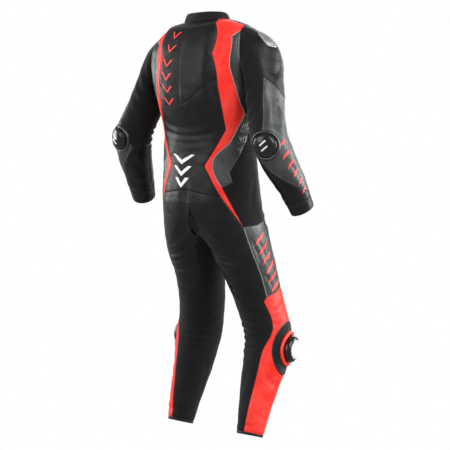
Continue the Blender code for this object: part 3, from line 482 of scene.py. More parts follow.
def place(points, side):
    """Mirrors points of the left half for the right one, and hangs them with the shoulders rolled."""
    placed = points * np.array([side, 1, 1])
    placed[:, 2] -= ROLL * placed[:, 0] * ease(placed[:, 2], ROLL_START, ROLL_FULL)
    return placed


def outward_of(surface, around, down):
    """Unit normals of a surface, pointing away from the body."""
    h = 0.002
    across = surface(around + h, down) - surface(around - h, down)
    along = surface(around, down + h) - surface(around, down - h)
    normal = np.cross(along, across)
    return normal / np.linalg.norm(normal, axis=1)[:, None]


def scales(surface, around, down):
    """Metres for each unit of around and of down, at each place."""
    h = 0.002
    across = np.linalg.norm(surface(around + h, down) - surface(around - h, down), axis=1)
    along = np.linalg.norm(surface(around, down + h) - surface(around, down - h), axis=1)
    return np.stack([across, along], -1) / (2 * h)


SURFACES = {"body": body, "torso": torso, "collar": collar, "sleeve": sleeve}
waist = torso(np.linspace(0, 1, 60), np.full(60, 0.45))
print("round the waist:", round(np.linalg.norm(np.diff(waist, axis=0), axis=1).sum(), 3), "m")

# %% [markdown]
# ## The pattern
# A pattern maker draws the panels as seams between named points. A seam that bends is one smooth line
# through its points. Both panels beside a seam use the same line, so they always meet.

# %% The pattern's points


def zip_edge(down):
    """Around at which the torso is ZIP_HALF from the middle of the front."""
    half, square = through(TORSO[:, 0], TORSO[:, [3, 8]], np.array([down]))[0]
    return float(np.arcsin((ZIP_HALF / half) ** (square / 2)) / (2 * pi))


BODY_POINTS = {
    "neck_zip": (zip_edge(0), 0), "neck_shoulder": (0.262, 0), "neck_red": (0.335, 0), "neck_spine": (0.5, 0),
    "zip_chest": (zip_edge(0.2), 0.2), "zip_waist": (zip_edge(0.42), 0.42),
    "zip_end": (zip_edge(ZIP_END), ZIP_END),
    "zip_foot": (0, ZIP_END), "front_hip": (0, HIP_DOWN),
    # the inner edge of the red panel, from the neck to its tip on the hip
    "red_corner": (0.416, 0.154), "red_yoke": (0.404, 0.230), "red_blade": (0.396, 0.275),
    "red_rib": (0.361, 0.401), "red_waist": (0.439, 0.520), "red_seat": (0.382, 0.618),
    "red_tip": (0.314, 0.705),
    # its outer edge
    "grey_top": (0.345, 0.127), "grey_blade": (0.365, 0.196), "grey_low": (0.356, 0.241),
    "grey_rib": (0.317, 0.319), "grey_tip": (0.284, 0.362), "rib_mid": (0.345, 0.444),
    "rib_in": (0.397, 0.483),
    "rib_waist": (0.411, 0.516), "rib_out": (0.402, 0.550), "rib_end": (0.377, 0.589),
    # the outer edge of the ribbed waist panel
    "rib_top": (0.264, 0.352), "rib_side": (0.249, 0.409), "rib_back": (0.301, 0.484),
    "rib_notch": (0.346, 0.541), "rib_foot": (0.335, 0.571),
    "yoke_spine": (0.5, 0.300), "seat_spine": (0.5, 0.600), "back_hip": (0.5, HIP_DOWN),
    # the side of the trunk
    "side_chest": (0.205, 0.33), "side_waist": (0.19, 0.45), "side_hip": (0.20, 0.57),
    "thigh_top": (0.252, 0.711), "thigh_front": (0.205, 0.712), "groin": (0.12, 0.700),
    "groin_in": (0.05, 0.668),
    # the leg
    "crotch_back": (0.575, HIP_DOWN), "crotch_front": (-0.050, HIP_DOWN),
    "thigh_in": (0.535, 0.773), "thigh_in_low": (0.518, 0.858), "ham_in": (0.485, 0.905),
    "ham": (0.428, 0.940),
    "ham_out": (0.366, 0.953), "knee_out": (0.326, 0.957), "thigh_out": (0.305, 0.790),
    "grey_foot": (0.306, 0.947),
    "grey_mid": (0.225, 0.946), "grey_front": (0.160, 0.945), "thigh_side": (0.180, 0.830),
    "inner_thigh": (-0.047, 0.800), "inner_knee": (-0.045, 0.955), "inner_shin": (-0.042, 1.10),
    "inner_calf": (-0.049, 1.25), "inner_hem": (-0.054, HEM_DOWN),
    "red_above_knee": (0.314, 1.045), "red_behind_knee": (0.367, 1.138), "red_calf": (0.384, 1.240),
    "red_hem": (0.416, HEM_DOWN), "red_front_knee": (0.100, 1.040), "red_front_shin": (0.065, 1.140),
    "red_front_calf": (0.060, 1.280), "red_front_hem": (0.070, HEM_DOWN),
}
# The left half of the back differs a little in how it lies
LEFT_BODY_POINTS = {
    "red_corner": (0.450, 0.150), "red_yoke": (0.440, 0.230), "red_blade": (0.424, 0.290),
    "grey_top": (0.375, 0.120), "grey_blade": (0.407, 0.182), "grey_low": (0.396, 0.245),
    "grey_rib": (0.350, 0.320),
}
# Points of the armhole, shared by the panels on both sides of it, by how far around the sleeve they are
ARMHOLE_POINTS = {"arm_front": -0.14, "arm_shoulder": 0.025, "arm_grey": 0.11, "arm_flank": 0.385,
                  "arm_side": 0.56,
                  "arm_front_again": 0.86}
SLEEVE_POINTS = {
    "cap_back": (0.123, 0.056), "cap_low": (0.118, 0.107), "cap_edge": (0.0, 0.135),
    "cap_front": (-0.14, 0.152),
    "upper_back": (0.143, 0.140), "above_elbow": (0.195, 0.239), "elbow_back": (0.300, 0.266),
    "elbow_in": (0.360, 0.290), "under_arm": (0.420, 0.140), "under_elbow": (0.430, 0.285),
    "grey_elbow_low": (0.270, 0.338), "grey_forearm": (0.125, 0.402), "grey_point": (0.0, 0.440),
    "grey_tip": (-0.060, 0.450), "grey_bend": (-0.150, 0.300),
    "inner_elbow": (0.550, 0.290), "front_elbow": (0.850, 0.300),
    "inner_cuff": (0.550, CUFF_DOWN), "outer_cuff": (-0.060, CUFF_DOWN),
    "under_arm_front": (0.86, 0.152), "front_grey_tip": (0.940, 0.450), "front_cuff": (0.940, CUFF_DOWN),
}
# Seams drawn as one smooth line through these points; every other edge is straight between its ends
BODY_CURVES = (
    ("red_corner", "red_yoke", "red_blade", "red_rib"),
    ("red_waist", "red_seat", "red_tip"),
    ("grey_top", "grey_blade", "grey_low", "grey_rib", "grey_tip"),
    ("rib_mid", "rib_in", "rib_waist", "rib_out", "rib_end"),
    ("rib_top", "rib_side", "rib_back", "rib_notch"),
    ("neck_zip", "zip_chest", "zip_waist", "zip_end"),
    ("arm_side", "side_chest", "side_waist", "side_hip", "thigh_front"),
    ("thigh_front", "groin", "groin_in", "front_hip"),
    ("crotch_back", "thigh_in", "thigh_in_low", "ham_in", "ham", "ham_out", "knee_out"),
    ("red_tip", "thigh_out", "grey_foot"),
    ("thigh_front", "thigh_side", "grey_front"),
    ("knee_out", "red_above_knee", "red_behind_knee", "red_calf", "red_hem"),
    ("grey_front", "red_front_knee", "red_front_shin", "red_front_calf", "red_front_hem"),
    ("crotch_front", "inner_thigh", "inner_knee", "inner_shin", "inner_calf", "inner_hem"),
)
SLEEVE_CURVES = (
    ("arm_grey", "cap_back", "cap_low"),
    ("cap_low", "cap_edge", "cap_front"),
    ("cap_low", "upper_back", "above_elbow", "elbow_back"),
    ("arm_flank", "under_arm", "under_elbow"),
    ("elbow_in", "grey_elbow_low", "grey_forearm", "grey_point", "grey_tip"),
    ("cap_front", "grey_bend", "grey_tip"),
    ("under_arm_front", "front_elbow", "front_grey_tip"),
)
print("the seams run between", len(BODY_POINTS) + len(SLEEVE_POINTS), "named points")

# %% [markdown]
# ## Folds
# Leather folds where the body bends: behind the knee, inside the elbow, under the seat and at the waist. A
# fold is a soft trough with a low ridge on each side of it, deepest in its middle and gone at its ends.
# They are placed one by one, because folds at even distances look like a spring. The right half takes the
# same folds, moved a few millimetres and made a little deeper or shallower, as two real legs never crease
# alike.

# %% Place the folds
BOTH = (LEFT, RIGHT)
# surface, sides, half width and depth in mm, and the places the fold runs through
FOLDS = (
    # the lower edge of the hump, and the waist
    ("body", (LEFT,), 11, 1.4, ((0.40, 0.366), (0.45, 0.380), (0.50, 0.384), (0.56, 0.376))),
    ("body", (LEFT,), 8, 2.0, ((0.39, 0.402), (0.45, 0.414), (0.52, 0.416), (0.60, 0.404))),
    ("body", (LEFT,), 8, 1.6, ((0.43, 0.438), (0.50, 0.444), (0.58, 0.434))),
    ("body", (LEFT,), 10, 1.3, ((0.45, 0.470), (0.52, 0.474), (0.60, 0.462))),
    ("body", BOTH, 8, 1.2, ((0.41, 0.500), (0.45, 0.494), (0.49, 0.500))),
    ("body", BOTH, 9, 1.1, ((0.42, 0.330), (0.44, 0.290), (0.45, 0.250))),
    # the flank and the armpit
    ("body", BOTH, 8, 2.4, ((0.20, 0.395), (0.25, 0.420), (0.30, 0.428))),
    ("body", BOTH, 9, 2.2, ((0.20, 0.440), (0.25, 0.458), (0.32, 0.470))),
    ("body", BOTH, 7, 1.6, ((0.22, 0.362), (0.26, 0.384), (0.29, 0.392))),
    ("body", BOTH, 9, 1.8, ((0.22, 0.505), (0.27, 0.515), (0.33, 0.520))),
    ("body", BOTH, 8, 2.2, ((0.262, 0.295), (0.268, 0.325), (0.262, 0.355))),
    ("body", BOTH, 10, 1.6, ((0.235, 0.560), (0.26, 0.600), (0.27, 0.650))),
    # the seat: a valley in the middle, and a deep fold under each side
    ("body", (LEFT,), 15, 2.6, ((0.50, 0.545), (0.50, 0.575), (0.50, 0.605), (0.50, 0.639))),
    ("body", BOTH, 11, 5.0, ((0.345, 0.792), (0.40, 0.781), (0.46, 0.766), (0.52, 0.738), (0.55, 0.705))),
    ("body", BOTH, 9, 2.2, ((0.37, 0.818), (0.43, 0.808), (0.49, 0.792))),
    ("body", BOTH, 9, 1.5, ((0.42, 0.745), (0.46, 0.728), (0.49, 0.700))),
    ("body", BOTH, 10, 1.3, ((0.35, 0.862), (0.42, 0.848), (0.50, 0.852))),
    ("body", BOTH, 8, 1.1, ((0.37, 0.905), (0.45, 0.893), (0.50, 0.885))),
    # behind the knee
    ("body", BOTH, 8, 1.8, ((0.40, 1.018), (0.48, 1.020), (0.55, 1.012))),
    ("body", BOTH, 7, 2.8, ((0.36, 1.046), (0.46, 1.052), (0.58, 1.040))),
    ("body", BOTH, 6, 3.4, ((0.36, 1.077), (0.46, 1.084), (0.57, 1.072))),
    ("body", BOTH, 7, 3.0, ((0.38, 1.103), (0.49, 1.109), (0.60, 1.096))),
    ("body", BOTH, 6, 2.2, ((0.40, 1.130), (0.48, 1.133), (0.55, 1.122))),
    ("body", BOTH, 9, 1.4, ((0.43, 1.164), (0.50, 1.168), (0.56, 1.160))),
    # the calf and the hem
    ("body", BOTH, 14, 1.5, ((0.44, 1.215), (0.49, 1.280), (0.51, 1.350))),
    ("body", BOTH, 10, 1.2, ((0.40, 1.262), (0.44, 1.310), (0.45, 1.350))),
    ("body", BOTH, 7, 1.4, ((0.30, 1.372), (0.42, 1.377), (0.55, 1.368))),
    ("body", BOTH, 8, 1.0, ((0.56, 1.190), (0.60, 1.240), (0.61, 1.300))),
    # the red panel of the leg, above and below the knee slider
    ("body", BOTH, 6, 1.5, ((0.33, 1.022), (0.30, 1.040), (0.25, 1.034))),
    ("body", BOTH, 6, 1.2, ((0.32, 0.990), (0.28, 1.000), (0.23, 0.992))),
    ("body", BOTH, 8, 1.5, ((0.34, 1.212), (0.28, 1.240), (0.20, 1.236))),
    ("body", BOTH, 8, 1.1, ((0.37, 1.252), (0.30, 1.290), (0.24, 1.300))),
    ("body", BOTH, 7, 1.0, ((0.38, 1.330), (0.30, 1.352), (0.20, 1.350))),
    # the red panel of the back
    ("body", BOTH, 9, 0.9, ((0.385, 0.190), (0.380, 0.260), (0.365, 0.330))),
    ("body", BOTH, 7, 0.9, ((0.345, 0.300), (0.350, 0.350), (0.365, 0.400))),
    # the grey panel of the thigh
    ("body", BOTH, 5, 1.5, ((0.300, 0.735), (0.290, 0.775), (0.292, 0.825))),
    ("body", BOTH, 6, 1.2, ((0.272, 0.755), (0.262, 0.800), (0.268, 0.840))),
    ("body", BOTH, 6, 1.3, ((0.292, 0.860), (0.272, 0.895), (0.262, 0.930))),
    ("body", BOTH, 7, 0.9, ((0.240, 0.740), (0.225, 0.790), (0.215, 0.850))),
    # the front: groin, waist and chest
    ("body", BOTH, 10, 3.2, ((0.05, 0.700), (0.11, 0.728), (0.18, 0.730))),
    ("body", BOTH, 9, 2.2, ((0.05, 0.745), (0.11, 0.772), (0.17, 0.780))),
    ("body", BOTH, 9, 1.8, ((0.07, 0.655), (0.13, 0.672), (0.19, 0.668))),
    ("body", BOTH, 9, 1.5, ((0.04, 0.440), (0.09, 0.452), (0.16, 0.440))),
    ("body", BOTH, 8, 1.4, ((0.05, 0.490), (0.11, 0.498), (0.17, 0.486))),
    ("body", BOTH, 10, 1.8, ((0.11, 0.170), (0.14, 0.215), (0.155, 0.265))),
    ("body", BOTH, 9, 1.4, ((0.10, 0.300), (0.14, 0.318), (0.18, 0.318))),
    ("body", BOTH, 9, 1.4, ((-0.02, 0.880), (0.06, 0.896), (0.14, 0.884))),
    ("body", BOTH, 9, 1.2, ((-0.01, 1.200), (0.03, 1.260), (0.03, 1.320))),
    # the back of the upper arm and the armpit
    ("sleeve", BOTH, 8, 2.0, ((0.16, 0.052), (0.25, 0.070), (0.36, 0.062))),
    ("sleeve", BOTH, 8, 2.6, ((0.17, 0.088), (0.27, 0.110), (0.40, 0.100))),
    ("sleeve", BOTH, 9, 2.2, ((0.20, 0.138), (0.30, 0.160), (0.43, 0.150))),
    ("sleeve", BOTH, 8, 1.8, ((0.24, 0.190), (0.33, 0.207), (0.43, 0.200))),
    ("sleeve", BOTH, 7, 2.4, ((0.42, 0.040), (0.48, 0.062), (0.56, 0.052))),
    ("sleeve", BOTH, 8, 2.0, ((0.45, 0.092), (0.52, 0.110), (0.60, 0.100))),
    ("sleeve", BOTH, 8, 1.4, ((0.45, 0.225), (0.50, 0.240), (0.56, 0.236))),
    # inside the elbow
    ("sleeve", BOTH, 8, 1.8, ((0.58, 0.205), (0.70, 0.212), (0.80, 0.204))),
    ("sleeve", BOTH, 6, 3.2, ((0.55, 0.236), (0.68, 0.246), (0.82, 0.235))),
    ("sleeve", BOTH, 6, 3.6, ((0.53, 0.263), (0.67, 0.270), (0.83, 0.261))),
    ("sleeve", BOTH, 6, 3.0, ((0.55, 0.291), (0.68, 0.298), (0.80, 0.290))),
    ("sleeve", BOTH, 7, 2.0, ((0.60, 0.320), (0.71, 0.327), (0.80, 0.318))),
    # the cap, the grey panel and the forearm
    ("sleeve", BOTH, 9, 1.2, ((-0.06, 0.092), (0.00, 0.108), (0.07, 0.098))),
    ("sleeve", BOTH, 9, 1.6, ((0.12, 0.150), (0.14, 0.190), (0.15, 0.228))),
    ("sleeve", BOTH, 10, 1.4, ((0.02, 0.165), (0.05, 0.205), (0.07, 0.235))),
    ("sleeve", BOTH, 8, 1.3, ((0.09, 0.335), (0.05, 0.365), (0.03, 0.410))),
    ("sleeve", BOTH, 8, 1.1, ((0.22, 0.352), (0.19, 0.382), (0.17, 0.400))),
    ("sleeve", BOTH, 9, 1.6, ((0.36, 0.330), (0.41, 0.362), (0.44, 0.402))),
    ("sleeve", BOTH, 8, 1.3, ((0.28, 0.395), (0.34, 0.415), (0.42, 0.420))),
    ("sleeve", BOTH, 6, 1.3, ((0.13, 0.444), (0.25, 0.452), (0.38, 0.448))),
    ("sleeve", BOTH, 6, 1.4, ((0.60, 0.440), (0.72, 0.448), (0.86, 0.442))),
    # the collar
    ("collar", BOTH, 6, 1.0, ((0.33, -0.006), (0.335, -0.018), (0.33, -0.030))),
    ("collar", BOTH, 7, 0.8, ((0.12, -0.008), (0.13, -0.020), (0.12, -0.030))),
    ("collar", (LEFT,), 7, 0.7, ((0.44, -0.010), (0.47, -0.022), (0.49, -0.030))),
)
SHIFT_ALONG, SHIFT_AROUND, DEEPER = 0.004, 0.006, 1.35


def fold_lines():
    """Every fold as a line of points on its surface, with its half width and depth in metres."""
    chance = np.random.default_rng(11)
    lines = {name: [] for name in SURFACES}
    for limb, sides, width, depth, places in FOLDS:
        for side in sides:
            knots = np.array(places, float)
            moved = chance.normal(0, 1, 2) * (SHIFT_AROUND, SHIFT_ALONG) * (len(sides) > 1)
            if limb == "collar":
                moved *= 0
            run = through(np.arange(len(knots)), knots, np.linspace(0, len(knots) - 1, 16)) + moved
            line = SURFACES[limb](*run.T) * np.array([side, 1, 1])
            deep = DEEPER * depth * MM * chance.uniform(0.8, 1.2)
            lines[limb].append((line, width * MM * chance.uniform(0.85, 1.2), deep))
    lines["torso"] = lines["body"]
    return lines


LINES = fold_lines()
print(sum(len(lines) for name, lines in LINES.items() if name != "torso"), "folds")

# %% [markdown]
# ## From a smooth surface to a worn one
# Three more things change the surface. Armour under the leather lifts the elbows, knees and shoulders. The
# leather is calm around the armhole, the neck and the fittings, where thick seams and plates hold it flat.
# And a low, slow wave runs over everything, so that no highlight is perfectly straight.

# %% Armour, calm places and the worn surface
# where on which surface, half width and half length in m, height in mm
PADS = (
    ("sleeve", (0.205, 0.276), (0.062, 0.072), 4.0),
    ("sleeve", (-0.010, 0.052), (0.040, 0.048), 3.0),
    ("body", (0.225, 1.125), (0.090, 0.118), 5.0),
)
CALM = (("sleeve", (0.205, 0.276), 0.062), ("sleeve", (-0.010, 0.047), 0.045), ("body",
        (0.225, 1.125), 0.105),
        ("sleeve", (0.550, 0.375), 0.030))
WAVE_HEIGHT = 0.3 * MM
# length in mm, and direction
WAVES = ((83.0, (0.5, 0.6, 0.62)), (61.0, (0.7, -0.5, 0.5)), (47.0, (-0.4, 0.3, 0.87)))
CALM_SEAM, MIDDLE_BLEND = 0.022, 0.012


def nearest(points, line):
    """Distance from each point to a line through points in space, and how far along the line that is."""
    start, run = line[:-1], np.diff(line, axis=0)
    length = (run ** 2).sum(-1) + 1e-12
    distance, along = np.empty(len(points)), np.empty(len(points))
    for first in range(0, len(points), 3000):
        part = points[first:first + 3000]
        share = np.clip(((part[:, None] - start) * run).sum(-1) / length, 0, 1)
        gap = np.linalg.norm(part[:, None] - start - share[..., None] * run, axis=-1)
        best = gap.argmin(axis=1)
        rows = np.arange(len(part))
        distance[first:first + 3000] = gap[rows, best]
        along[first:first + 3000] = (best + share[rows, best]) / len(run)
    return distance, along


ARMHOLE_LINE = torso(*armhole(np.linspace(0, 1, 61)))
NECK_LINE = torso(np.linspace(0, 1, 61), np.zeros(61))


def from_centre(limb, centre, radii, around, down):
    """Distance from a place on the surface, as a share of the two radii."""
    scale = scales(SURFACES[limb], *np.array([centre]).T)[0]
    return np.hypot((around - centre[0]) * scale[0] / radii[0], (down - centre[1]) * scale[1] / radii[1])


def relief(limb, points, around, down, side):
    """How far the worn surface stands out from the smooth one at each point."""
    kind = "body" if limb == "torso" else limb
    height = np.zeros(len(points))
    mirrored = points * np.array([side, 1, 1])
    for line, width, depth in LINES[kind]:
        reach = 4 * width
        near = ((mirrored > line.min(axis=0) - reach) & (mirrored < line.max(axis=0) + reach)).all(axis=1)
        if near.any():
            distance, along = nearest(mirrored[near], line)
            trough = -np.exp(-(distance / width) ** 1.5)
            ridge = 0.45 * np.exp(-((distance - 2.1 * width) / (0.9 * width)) ** 2)
            height[near] += depth * np.sin(pi * along) ** 0.6 * (trough + ridge)
    for length, direction in WAVES:
        height += WAVE_HEIGHT * np.sin(2 * pi * (mirrored @ direction) / (length * MM) + length)
    on_left = np.column_stack([np.abs(points[:, 0]), points[:, 1:]])
    for line in (ARMHOLE_LINE, NECK_LINE):
        height *= ease(nearest(on_left, line)[0], 0.0, CALM_SEAM)
    for calm_limb, centre, radius in CALM:
        if calm_limb == kind:
            height *= ease(from_centre(limb, centre, (radius, radius), around, down), 0.75, 1.2)
    for pad_limb, centre, radii, rise in PADS:
        if pad_limb == kind:
            height += rise * MM * (1 - ease(from_centre(limb, centre, radii, around, down), 0.7, 1.25))
    return height


def worn(limb, around, down, side, lift=0.0):
    """Points of the worn surface, before they are placed on their side, and the smooth surface's normals."""
    smooth = SURFACES[limb](around, down)
    normal = outward_of(SURFACES[limb], around, down)
    # on the middle plane a point moves only within it, so that the halves stay together
    normal[:, 0] *= ease(np.abs(smooth[:, 0]), 0.0, MIDDLE_BLEND)
    normal /= np.linalg.norm(normal, axis=1)[:, None]
    height = relief(limb, smooth, around, down, side) + lift
    return smooth + height[:, None] * normal, normal


print("armour pads:", len(PADS))

# %% [markdown]
# ## Cutting and sewing a panel
# A panel starts as its outline on the surface. Rows of points follow the outline just inside it, close
# enough together to shape the rolled edge and the groove that the stitches lie in, and an even grid fills
# the rest. A triangulation joins them, and each point is lifted onto the worn surface. Extruding the skin
# inwards gives the wall. The inside gets the lining's material.

# %% Helpers for cutting
SEAM_STEP, GRID, PLEAT_GRID = 5.0 * MM, 5.2 * MM, 2.1 * MM
SEAM_ROWS = (1.4 * MM, 3.2 * MM, 5.4 * MM, 9.0 * MM)
STITCH_ROW = SEAM_ROWS[1]
SEAM_DIP, ROLL_RISE, STITCH_DIP, PUFF = 1.0 * MM, 0.35 * MM, 0.25 * MM, 0.8 * MM
AFTER_RISE, PUFF_FROM, LEAST_MITRE, AT_MIDDLE = 0.25 * MM, 24 * MM, 0.5, 1e-6
MEASURE_STEPS, TURN_STEPS = 20, 46
# a long bent cut fills this share of the box around it
LEAST_FILL = 0.305
stitches = {name: [] for name in THREADS}


def armhole_run(start, end):
    """Places around the armhole from one named point to the next, by the shorter way."""
    start, end = ARMHOLE_POINTS[start], ARMHOLE_POINTS[end]
    end += round(start - end)
    fine = place(torso(*armhole(np.linspace(start, end, MEASURE_STEPS))), LEFT)
    count = max(1, round(np.linalg.norm(np.diff(fine, axis=0), axis=1).sum() / SEAM_STEP))
    return np.linspace(start, end, count, endpoint=False)


def edge(start, end, points, curves, surface):
    """Places along the seam between two named points, without the last."""
    shape, knots = np.array([points[start], points[end]], float), (0, 1)
    for curve in curves:
        for first, second in zip(curve, curve[1:]):
            if {start, end} == {first, second}:
                shape = np.array([points[name] for name in curve], float)
                knots = curve.index(start), curve.index(end)

    def run(count, endpoint):
        share = knots[0] + np.linspace(0, 1, count, endpoint=endpoint) * (knots[1] - knots[0])
        return through(np.arange(len(shape)), shape, share)
    fine = run(MEASURE_STEPS, True)
    length = np.linalg.norm(np.diff(surface(*fine.T), axis=0), axis=1).sum()
    return run(max(1, round(length / SEAM_STEP)), False)


def outline_of(names, points, curves, surface):
    """The outline as places on the surface, and where on it the armhole runs."""
    places, arms = [], []
    for start, end in zip(names, names[1:] + names[:1]):
        if start in ARMHOLE_POINTS and end in ARMHOLE_POINTS:
            run = armhole_run(start, end)
            places += zip(*armhole(run)) if surface is not sleeve else [(around, 0.0) for around in run]
            arms += list(run)
        else:
            run = edge(start, end, points, curves, surface)
            places += [tuple(p) for p in run]
            arms += [ARMHOLE_POINTS.get(start, np.nan)] + [np.nan] * (len(run) - 1)
    return np.array(places, float), np.array(arms, float)


def into_the_wall(surface, places, arms):
    """The way from the outer face to the inner one for a wall of 1, mitred where two surfaces meet."""
    normal = outward_of(surface, *places.T)
    other = normal.copy()
    at_arm = ~np.isnan(arms)
    if at_arm.any():
        on_sleeve = outward_of(sleeve, arms[at_arm], np.zeros(at_arm.sum()))
        on_torso = outward_of(torso, *armhole(arms[at_arm]))
        normal[at_arm], other[at_arm] = (on_sleeve, on_torso) if surface is sleeve else (on_torso, on_sleeve)
    at_neck = (places[:, 1] == 0) & (surface is not sleeve)
    if at_neck.any():
        other[at_neck] = outward_of(torso if surface is collar else collar, *places[at_neck].T)
    in_middle = np.abs(surface(*places.T)[:, 0]) < AT_MIDDLE
    other[in_middle] = normal[in_middle] * (-1, 1, 1)
    between = normal + other
    between /= np.linalg.norm(between, axis=1)[:, None]
    return -between / np.maximum((between * normal).sum(axis=1), LEAST_MITRE)[:, None]


def inside(spots, outline):
    """Whether each spot lies inside the outline, in the flat."""
    ends = np.roll(outline, -1, axis=0)
    run = ends - outline
    crossed = (outline[None, :, 1] > spots[:, None, 1]) != (ends[None, :, 1] > spots[:, None, 1])
    with np.errstate(divide="ignore", invalid="ignore"):
        share = (spots[:, None, 1] - outline[None, :, 1]) / run[None, :, 1]
        at = outline[None, :, 0] + share * run[None, :, 0]
    return (crossed & (spots[:, None, 0] < at)).sum(axis=1) % 2 == 1


def even_grid(outline, spacing):
    """Rows of points, each set off from the last, over the box of an outline."""
    low, high = outline.min(axis=0), outline.max(axis=0)
    rows = np.arange(low[1] + spacing / 2, high[1], spacing * sin(pi / 3))
    across = np.arange(low[0] + spacing / 4, high[0], spacing)
    if not len(rows) or not len(across):
        return np.zeros((0, 2))
    return np.concatenate([np.column_stack([across + spacing / 2 * (i % 2), np.full(len(across), y)])
                           for i, y in enumerate(rows)])


def cut_size(flat, area):
    """Sides of the smallest box around the flat cut, turned any way; a bent cut fills LEAST_FILL of it."""
    turns = np.linspace(0, pi / 2, TURN_STEPS)
    across = np.stack([np.cos(turns), np.sin(turns)], axis=1)
    along = np.stack([-np.sin(turns), np.cos(turns)], axis=1)
    sizes = np.stack([np.ptp(flat @ across.T, axis=0), np.ptp(flat @ along.T, axis=0)], axis=1)
    size = sizes[sizes.prod(axis=1).argmin()]
    own_area = abs(np.cross(flat, np.roll(flat, -1, axis=0)).sum()) / 2
    return size * (area / max(own_area, LEAST_FILL * size.prod())) ** 0.5


def seam_profile(distance):
    """Height of the skin by its distance from the seam: a dip, a roll, the stitches' groove, a rise."""
    return np.interp(distance, (0, *SEAM_ROWS, PUFF_FROM),
                     (-SEAM_DIP, ROLL_RISE, ROLL_RISE - STITCH_DIP, ROLL_RISE + AFTER_RISE, PUFF, PUFF))


def finish(bm, name, materials, smooth_angle=60):
    """Turns every face outward, makes the object and lets it ride on the suit."""
    bmesh.ops.recalc_face_normals(bm, faces=bm.faces)
    if bm.calc_volume(signed=True) < 0:
        bmesh.ops.reverse_faces(bm, faces=bm.faces)
    mesh = bpy.data.meshes.new(name)
    bm.to_mesh(mesh)
    bm.free()
    for material in materials:
        mesh.materials.append(material)
    mesh.shade_smooth()
    mesh.set_sharp_from_angle(angle=radians(smooth_angle))
    piece = bpy.data.objects.new(name, mesh)
    scene.collection.objects.link(piece)
    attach(piece, "root")
    return piece


print("rows of points beside a seam, mm:", [round(row / MM, 1) for row in SEAM_ROWS])

# %% [markdown]
# ## From a flat cut to a closed shell
# The rows and the grid are triangulated in the flat, at the scale of the panel's middle, so that the UV map
# is the cut itself, in metres. The rim sinks along the mitre between two surfaces, so panels still meet at
# the armhole and the neck. A stretch pleat is a rounded ridge, and the ridges run beside the panel's long
# seam.

# %% The panel maker
PLEAT_MM, PLEAT_HEIGHT, PLEAT_ROUND, PLEAT_FADE = 8.0, 1.9 * MM, 0.7, (0.002, 0.010)
ROW_ROOM, GRID_ROOM, SAME_PLACE, FINE_GRID = 0.9, 0.45, 1e-8, 4 * MM


def seam_rows(surface, outline, spacing):
    """Rows of places inside the outline, by their distance from it, which of them to keep, and the rim."""
    local = scales(surface, *outline.T)
    rim = surface(*outline.T)
    loop = np.vstack([rim, rim[:1]])
    ahead = (np.roll(outline, -1, axis=0) - np.roll(outline, 1, axis=0)) * local
    ahead /= np.linalg.norm(ahead, axis=1)[:, None]
    inward = np.column_stack([-ahead[:, 1], ahead[:, 0]]) / local
    chosen = SEAM_ROWS if spacing > FINE_GRID else SEAM_ROWS[:-1]
    rows = {row: outline + row * inward for row in chosen}
    kept = {row: inside(line, outline) & (nearest(surface(*line.T), loop)[0] > ROW_ROOM * row)
            for row, line in rows.items()}
    return rows, kept, loop


def cut_flat(surface, outline, metric, rows, kept, loop, spacing):
    """The cut's flat points and triangles, and the number of the outline's point that each point is."""
    grid = even_grid(outline * metric, spacing) / metric
    grid = grid[inside(grid, outline)]
    if len(grid):
        grid = grid[nearest(surface(*grid.T), loop)[0] > max(rows) + GRID_ROOM * spacing]
    spots = [line[kept[row]] for row, line in rows.items()]
    flat = np.concatenate([outline, *spots, grid]) * metric
    count = len(outline)
    cut = delaunay_2d_cdt([Vector(p) for p in flat], [], [list(range(count))], 1, SAME_PLACE)
    origin = np.array([min(found) if found else count for found in cut[3]])
    return np.array([tuple(p) for p in cut[0]]), cut[2], origin


def pleats(smooth, lines):
    """Height of the pleats beside the lines, at each point of the smooth surface."""
    turns = np.min([nearest(smooth, line)[0] for line in lines], axis=0) / (PLEAT_MM * MM)
    return (np.abs(np.sin(pi * turns)) ** PLEAT_ROUND - 0.5) * PLEAT_HEIGHT


def walled(outer, inner, flat, faces, lining):
    """A closed wall between two skins whose UV map is the flat cut, and the outer skin's area."""
    bm = bmesh.new()
    verts = [bm.verts.new(p) for p in outer]
    skin = [bm.faces.new([verts[i] for i in face]) for face in faces]
    area = sum(face.calc_area() for face in skin)
    uv = bm.loops.layers.uv.new("cut")
    bm.verts.index_update()
    for face in skin:
        for corner in face.loops:
            corner[uv].uv = flat[corner.vert.index]
    made = bmesh.ops.extrude_face_region(bm, geom=skin, use_keep_orig=True)["geom"]
    number = {tuple(vert.co): i for i, vert in enumerate(verts)}
    for item in made:
        if isinstance(item, bmesh.types.BMVert):
            item.co = inner[number[tuple(item.co)]]
        elif isinstance(item, bmesh.types.BMFace):
            item.material_index = lining
    return bm, area


